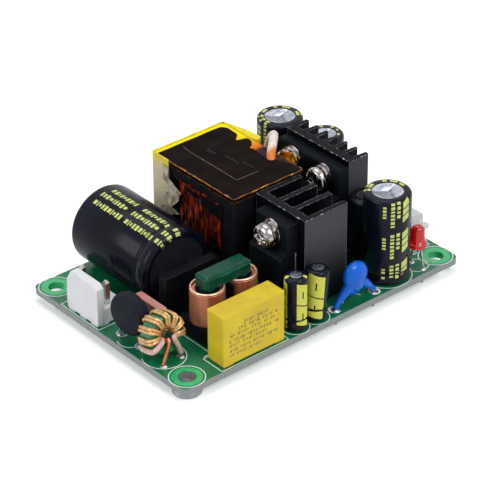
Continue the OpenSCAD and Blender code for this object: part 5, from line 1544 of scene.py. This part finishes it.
@dataclass
class Transformer:
    """Ferrite core wound with copper and taped: dark film on top, yellow tape round the far side,
    cream tape and bare copper on the left side, and a sleeved lead over the right edge."""

    x: float = 2.75                  # middle of the core
    y: float = 9.4
    width: float = 19.0
    length: float = 26.2
    top: float = 23.83               # upper face of the tape under the film
    film_t: float = 0.06             # thickness of a layer of film
    lead_r: float = 0.98             # radius of the sleeved lead
    lead_at: tuple[float, float] = (15.25, 5.6)      # where it stands, from the core's middle

    @property
    def left(self) -> float:
        """Place of the left face along X."""
        return self.x - self.width / 2

    def build(self) -> None:
        """Dresses the core, bobbin and tapes, then adds films, label, copper and the lead."""
        # Ferrite, pressed: dark grey and matt, brownish at its edges.
        dress(Finish("ferrite_pressed_dark", "111318", "17181c", rough=0.45, specular=0.12,
                     blotch_mm=2.6, relief=0.35, relief_mm=0.25, worn="3c3530",
                     worn_share=0.5), "transformer_core")
        dress(BLACK_NYLON, "transformer_bobbin")
        # Polyimide tape, folded over ferrite: dark brown, amber at the folds.
        dress(TapeCap("polyimide_tape_folded", "170a06", "241007", rough=0.24, specular=0.06,
                      blotch_mm=2.0, relief=0.2, worn="c07c26", worn_mm=0.3,
                      worn_share=0.8), "transformer_tape")
        # Polyester tape, wound on: bright satin yellow.
        dress(SideFaded("polyester_tape_yellow", "ece01a", "dfc412", rough=0.3, specular=0.35,
                        blotch_mm=2.0, relief=0.25, glow=0.1), "transformer_wrap")
        # Copper wire seen through film: dark red with warm glints.
        dress(Streaked("copper_wire_under_film", "5e180c", "250a07", rough=0.35, specular=0.25,
                       drawn=Axis.ALONG_Z, blotch_mm=0.8, share=0.9, relief=0.6,
                       relief_mm=0.3, glint="a53a14"), "transformer_winding")
        self.film()
        self.label()
        self.rim()
        self.left_side()
        self.flap()
        self.lead()

    def film(self) -> None:
        """Dark film on top, its right border torn into notches."""
        # Torn border from front to back: place along Y and along X.
        right = np.array([[-3.7, 12.1], [-2.6, 12.1], [-0.3, 11.7], [1.4, 11.1], [2.9, 10.4],
                          [4.3, 9.75], [5.8, 9.5], [7.6, 9.6], [9.0, 9.8], [9.7, 9.9],
                          [10.15, 9.5], [10.5, 9.7], [10.9, 10.6], [11.9, 11.4], [12.9, 11.9],
                          [13.7, 11.95], [14.1, 11.4], [14.35, 10.3], [14.6, 9.6],
                          [14.9, 9.5], [15.5, 10.2], [16.4, 11.2], [17.2, 11.5], [20.1, 11.6],
                          [21.2, 10.95], [21.5, 10.3]])

        def surface(u: Array, v: Array, height: float) -> Array:
            """Straight across from the left edge to the torn border, slightly wavy.

            Args:
                u: share of the way across.
                v: place along Y, in millimetres.
                height: height above the surface.

            Returns:
                Points.
            """
            edge = np.interp(v, right[:, 0], right[:, 1])
            left = self.left - 0.1 + 0.12 * np.maximum(0, v - 19.5)
            x = left + (edge - left) * u
            wave = 0.03 * np.sin(x * 0.9 + v * 0.35) + 0.02 * np.sin(v * 1.3)
            return np.stack([x, v, self.top + 0.05 + wave + height], axis=-1)

        rows = np.unique(np.concatenate([np.linspace(-3.7, 21.5, 80), right[:, 0]]))
        put("dark_film", outward(surface, np.linspace(0, 1, 24), rows, self.film_t), Finish(
            # Several layers of amber film over black ferrite: almost black, warm where it thins.
            "polyimide_film_layered", "080403", "120705", rough=0.32, rough_swing=0.06,
            specular=0.02, blotch_mm=5.0, share=0.7, relief=0.2, relief_mm=1.5))

    def label(self) -> None:
        """Edge of a label under the film: an L of thin pale line, and a few faint plain bars."""
        z = self.top + 0.14
        lines = [smooth_path([(-0.87, 20.1), (-1.24, 17.3), (-1.3, 9.0), (-1.38, 1.75)], 12),
                 smooth_path([(-1.38, 1.72), (0.5, 1.62), (4.36, 1.55)], 12)]
        put("label_edge", joined([flat_ribbon(line, 0.22, z) for line in lines]),
            # Film, lifted along an edge: a pale brown line where light catches it.
            Finish("film_edge_lifted", "6a5238", "3a2a1c", rough=0.35, blotch_mm=0.8,
                   share=0.8, specular=0.3))
        bars = [flat_ribbon([(x, y - 0.9 * i), (x, y - 0.9 * i - 0.62 + 0.1 * (i % 2))], width, z)
                for x, y, width, count in ((2.2, 15.6, 1.0, 3), (3.4, 11.0, 0.85, 5),
                                           (4.6, 6.6, 0.7, 4)) for i in range(count)]
        # Label ink under the film: bars hardly darker than what lies round them.
        put("label_bars", joined(bars), Finish("label_ink_under_film", "0a090b", "0e0b0b",
                                               rough=0.3, specular=0.1))

    def rim(self) -> None:
        """Glossy fold of tape along the top edges nearest the front: a thin golden bead."""
        w, l = self.width / 2 + 0.14, self.length / 2 + 0.14
        bead = smooth_path([(-w, l - 1.2, 0), (-w, 4, 0), (-w, -6, 0), (-w, -l + 1.0, 0),
                            (-w + 0.35, -l + 0.3, 0), (-w + 1.1, -l, 0), (-2, -l, 0),
                            (4, -l, 0), (w - 1.1, -l, 0), (w - 0.3, -l + 0.4, 0),
                            (w, -l + 1.3, 0)], 14) + [self.x, self.y, 0]
        bead[:, 2] = self.top - 0.06 + 0.05 * np.sin(bead[:, 1] * 1.7 + bead[:, 0] * 1.1)
        radius = 0.15 + 0.04 * np.sin(bead[:, 1] * 2.3 + bead[:, 0] * 1.9)
        put("folded_edge", sweep(bead, radius, 12), Finish(
            # Polyimide film, folded: gold where it is thick, brown between.
            "polyimide_film_fold", "cd8b30", "6a3a12", rough=0.2, specular=0.4, blotch_mm=1.1,
            share=0.9, relief=0.3, relief_mm=0.4))

    def left_side(self) -> None:
        """Left side: crumpled film over the copper, a black patch, and the loose cream tape."""
        face = self.left - 0.02

        def copper(u: Array, v: Array, height: float) -> Array:
            """A sheet with folds along Z: two sine waves of different length.

            Args:
                u: first parameter, from zero to one.
                v: second parameter, from zero to one.
                height: height above the surface.

            Returns:
                Points.
            """
            y = 0.2 + 13.6 * u
            low = 9.8 + 1.6 * np.sin(u * 9.0) * (1 - v)
            z = low + (20.9 - low) * v
            fold = 0.16 * np.sin(y * 2.4 + z * 0.35) + 0.12 * np.sin(y * 5.3 - z * 0.6)
            return np.stack([face - 0.25 - height + fold * 0.8, y, z], axis=-1)

        put("copper_side", sheet(copper, 90, 50, self.film_t), Streaked(
            # Copper under crumpled amber film: dark, with orange streaks, the brightest painted as
            # glints.
            "copper_under_amber_film", "8a2a14", "34110d", rough=0.3, specular=0.2,
            drawn=Axis.PARTLY_Z, blotch_mm=2.2, share=1.0, relief=0.7, relief_mm=0.45,
            glint="c4481c"))

        def patch(u: Array, v: Array, height: float) -> Array:
            """Flat piece whose lower edge is slanted.

            Args:
                u: first parameter, from zero to one.
                v: second parameter, from zero to one.
                height: height above the surface.

            Returns:
                Points.
            """
            y = -0.2 + 6.6 * u
            z = 20.6 - (3.4 - 1.2 * u) * v
            return np.stack([np.full_like(u, face - 0.55 - height), y, z], axis=-1)

        put("black_patch", sheet(patch, 10, 8, 0.12), BLACK_NYLON)

        edge = np.array([[10.3, 18.7], [12.8, 13.2], [13.7, 15.5], [16.2, 13.4], [18.4, 12.3],
                         [19.0, 14.6], [20.3, 17.0], [21.6, 16.5], [22.4, 16.6]])

        def tape(u: Array, v: Array, height: float) -> Array:
            """Loose sheet that curls off the face towards its torn inner edge.

            Args:
                u: first parameter, from zero to one.
                v: height, in millimetres.
                height: height above the surface.

            Returns:
                Points.
            """
            y = 22.3 + (np.interp(v, edge[:, 0], edge[:, 1]) - 22.3) * u
            curl = 0.9 * u ** 2 + 0.22 * np.sin(v * 1.7 + u * 3.0) * u
            return np.stack([face - 0.1 - height - curl, y, v], axis=-1)

        rows = np.unique(np.concatenate([np.linspace(10.3, 22.4, 60), edge[:, 0]]))
        put("cream_tape", outward(tape, np.linspace(0, 1, 30), rows, 0.08), Finish(
            # Glass-cloth tape soaked in varnish: cream, with brown blotches.
            "glass_cloth_tape_varnished", "dcd4bd", "7d6a44", rough=0.3, specular=0.4,
            blotch_mm=2.0, share=0.6, relief=0.4, relief_mm=0.4, glow=0.1))

    def flap(self) -> None:
        """Loose end of amber film that stands up in front of the rear screw."""
        top_edge = np.array([[0.3, 23.5], [1.9, 24.5], [4.8, 24.0], [7.4, 20.9]])

        def surface(u: Array, v: Array, height: float) -> Array:
            """Curved sheet from the tape's edge up to a rounded free edge.

            Args:
                u: first parameter, from zero to one.
                v: second parameter, from zero to one.
                height: height above the surface.

            Returns:
                Points.
            """
            y = 0.3 + 7.1 * u
            high = np.interp(y, top_edge[:, 0], top_edge[:, 1])
            z = 20.4 + (high - 20.4) * v
            x = 13.2 + 1.0 * v + 0.35 * np.sin(y * 0.9) + 0.15 * np.sin(z * 2.0)
            return np.stack([x - height, y, z], axis=-1)

        put("amber_flap", sheet(surface, 40, 24, self.film_t), Streaked(
            # Polyimide film, crumpled: clear brown and amber, with painted yellow glints along the
            # creases.
            "polyimide_film_crumpled", "5a2604", "c8720a", rough=0.16, rough_swing=0.04,
            blotch_mm=1.1, share=1.0, clear=0.2, relief=0.7, relief_mm=0.8,
            glint="ffe22a"))

    def lead(self) -> None:
        """Sleeved winding end that loops over the tape and down into the board."""
        foot = np.array([self.x + self.lead_at[0], self.y + self.lead_at[1], 0])
        route = smooth_path([(-8.05, -11.2, 23.1), (-7.55, -10.6, 23.9), (-6.35, -9.4, 24.5),
                             (-4.65, -7.8, 24.9), (-2.85, -6.0, 24.9), (-1.35, -4.3, 24.3),
                             (-0.45, -2.6, 22.8), (-0.05, -1.3, 20.5), (0, -0.4, 17),
                             (0, 0, 12), (0, 0, 7), (0, 0, 1.9)], 16) + foot
        end = foot + np.outer([2.1, 1.2, 0.0, STUB], [0, 0, 1])
        put("sleeved_lead", sweep(route, self.lead_r, 28), Banded(
            # Silicone sleeve, milky and pale; its lower part is orange, partly from the amber film
            # round it and partly a painted reflection of the amber film below.
            "silicone_sleeve_milky", "d8c2ba", "eaddd6", rough=0.42, glow=0.3, relief=0.2,
            blotch_mm=1.2, along="Y", low="d9741c", from_mm=4.8, to_mm=5.8),
            replaces=("transformer_lead",))
        put("sleeved_lead_end", sweep(end, 0.45, 16), TINNED)


# ------------------------------ small coloured parts


@dataclass
class SmallParts:
    """Blue dipped capacitor, red lamp and the drum choke."""

    bell_z: float = 6.35             # middle height of the dipped body's lower part
    bell_h: float = 3.0              # half its height
    bell_r: float = 2.45

    def bell(self, blue: Material) -> None:
        """Lower part of the dipped body, which widens over the leads: a tube along Z whose radius
        follows half an ellipse, pressed to less than half its depth.

        Args:
            blue: material of the dipped body.
        """
        x, y, _ = centre("blue_capacitor")[0]
        z = self.bell_z + (self.bell_h - 0.05) * np.cos(np.linspace(math.pi, 0, 36))
        up = (z - self.bell_z) / self.bell_h
        r = self.bell_r * np.sqrt(np.maximum(0.004, 1 - up ** 2)) * (1 - 0.10 * up)
        points, quads = sweep(np.stack([np.full(36, x), np.full(36, y), z], 1), r, 40)
        points[:, 1] = y + (points[:, 1] - y) * 0.42
        put("blue_body", (points, quads), blue)

    def build(self) -> None:
        """Dresses the three parts."""
        self.bell(smoothed(Banded(
            # Glossy dipped resin; the wires below it are left tinned.
            "epoxy_dip_blue", "0058c4", "0064d4", rough=0.16, rough_swing=0.04, specular=0.2,
            coat=0.12, coat_rough=0.04, blotch_mm=3.0, relief=0.12, relief_mm=1.2,
            low="8f929a", from_mm=1.7, to_mm=2.0), "blue_coat", "blue_capacitor"))
        # Epoxy, cast in red: clear and glossy, so that the lamp looks deep.
        smoothed(Finish("epoxy_cast_red", "d80a0a", "ee1c14", rough=0.12, rough_swing=0.03,
                        coat=0.4, clear=0.5, relief=0.05, blotch_mm=2.0), "lamp",
                 "indicator_lamp")
        # Polyolefin tube, shrunk on: black with a soft gloss.
        smoothed(Finish("polyolefin_shrink_black", "0c0e13", "13161c", rough=0.32, specular=0.25,
                        blotch_mm=2.0, relief=0.3, relief_mm=0.7), "shrink_tube", "drum_choke")


# ------------------------------ studio


@dataclass
class Studio:
    """Pale floor, soft lamps, white surroundings and the camera."""

    target: tuple[float, float, float] = (0.363, -0.400, 6.979)
    seat: tuple[float, float, float] = (-285.4, -337.8, 285.1)
    lens: float = 176.8
    roll: float = -0.369             # degrees
    surround: float = 0.42           # strength of the surroundings as a light

    def build(self) -> None:
        """Sets the stage."""
        self.camera()
        self.world()
        self.floor()
        self.lamp("key", (60, -420, 430), 300, 1.75)
        self.lamp("left", (-430, 60, 260), 260, 0.75)
        self.lamp("overhead", (30, 120, 560), 380, 1.0)
        bpy.context.scene.view_settings.view_transform = "Standard"

    def camera(self) -> None:
        """Camera looking at the target, turned a little about its own axis."""
        data = bpy.data.cameras.new("camera")
        data.sensor_width = 36
        data.lens = self.lens
        data.clip_start, data.clip_end = 0.01, 10
        eye = link("camera", data)
        seat, target = Vector(self.seat) * MM, Vector(self.target) * MM
        turn = (target - seat).to_track_quat("-Z", "Y").to_matrix().to_4x4()
        turn = turn @ Matrix.Rotation(math.radians(self.roll), 4, "Z")
        eye.matrix_world = Matrix.Translation(seat) @ turn
        bpy.context.scene.camera = eye

    def lamp(self, name: str, seat: tuple[float, float, float], size: float,
             watts: float) -> None:
        """A square soft lamp aimed at the middle of the board; lengths in millimetres.

        Args:
            name: name of the lamp.
            seat: place of the lamp.
            size: side of its square.
            watts: power.
        """
        data = bpy.data.lights.new(name, "AREA")
        data.shape = "SQUARE"
        data.size = size * MM
        data.energy = watts
        lamp = link(name, data)
        lamp.location = Vector(seat) * MM
        aim = Vector((0, 0, 0.01)) - lamp.location
        lamp.rotation_euler = aim.to_track_quat("-Z", "Y").to_euler()

    def world(self) -> None:
        """White where the camera, a reflection or clear plastic looks at it, soft light besides."""
        world = bpy.data.worlds.new("surroundings")
        bpy.context.scene.world = world
        tree = blank(world)
        rays = add(tree, "LightPath").outputs
        seen = rays["Is Camera Ray"]
        for ray in ("Is Glossy Ray", "Is Transmission Ray"):
            seen = add(tree, "Math", {0: seen, 1: rays[ray]}, operation="MAXIMUM").outputs[0]
        white = add(tree, "Background", {"Color": (1, 1, 1, 1), "Strength": 1.0})
        soft = add(tree, "Background", {"Color": linear("f4f6fa"), "Strength": self.surround})
        mixed = add(tree, "MixShader", {0: seen, 1: soft.outputs[0], 2: white.outputs[0]})
        add(tree, "OutputWorld", {"Surface": mixed.outputs[0]})

    def floor(self) -> None:
        """Round pale floor under the stubs of the leads: a disc worked out as rings of points."""
        z, sides = float(CAD_BOX[0][2]) / MM - 0.02, 64
        r = np.array([1.0, 60, 120, 240, 500, 1200])
        rr, aa = np.meshgrid(r, np.linspace(0, TAU, sides, endpoint=False), indexing="ij")
        points = np.stack([rr * np.cos(aa), rr * np.sin(aa), np.full_like(rr, z)], axis=-1)
        around = np.arange(sides)
        fan = np.stack([np.full(sides, rr.size), around, (around + 1) % sides], axis=-1)
        mesh = bpy.data.meshes.new("floor")
        mesh.from_pydata(
            [*(points.reshape(-1, 3) * MM).tolist(), (0, 0, z * MM)], [],
            grid_faces(len(r), sides, wrap=True).tolist() + fan.tolist())
        mesh.update()
        floor = link("floor", mesh)
        material = bpy.data.materials.new("paper_seamless_white")
        tree = blank(material)
        matt = add(tree, "BsdfDiffuse", {"Color": linear("f6f6f6")})
        dark, bright = (add(tree, "Emission", {"Color": (1, 1, 1, 1), "Strength": power})
                        for power in (0.0, 0.30))
        lift = add(tree, "MixShader", {0: add(tree, "LightPath").outputs["Is Camera Ray"],
                                       1: dark.outputs[0], 2: bright.outputs[0]})
        both = add(tree, "AddShader", {0: matt.outputs[0], 1: lift.outputs[0]})
        add(tree, "OutputMaterial", {"Surface": both.outputs[0]})
        mesh.materials.append(material)


def main() -> None:
    """Builds the sub-assemblies in order."""
    logging.basicConfig(level=logging.INFO, format="%(name)s: %(message)s")
    for part in (Studio(), Board(), SmallMoulded(), Toroid(), LineChoke(), FilmCapacitor(),
                 Electrolytics(), Heatsinks(), Transformer(), SmallParts()):
        part.build()
        log.info("%s built", type(part).__name__)
    bare = [name for name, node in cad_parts.items()
            if not node.data.materials or node.data.materials[0] is None]
    log.info("nodes without a finish: %s", bare)


if __name__ == "__main__":
    main()
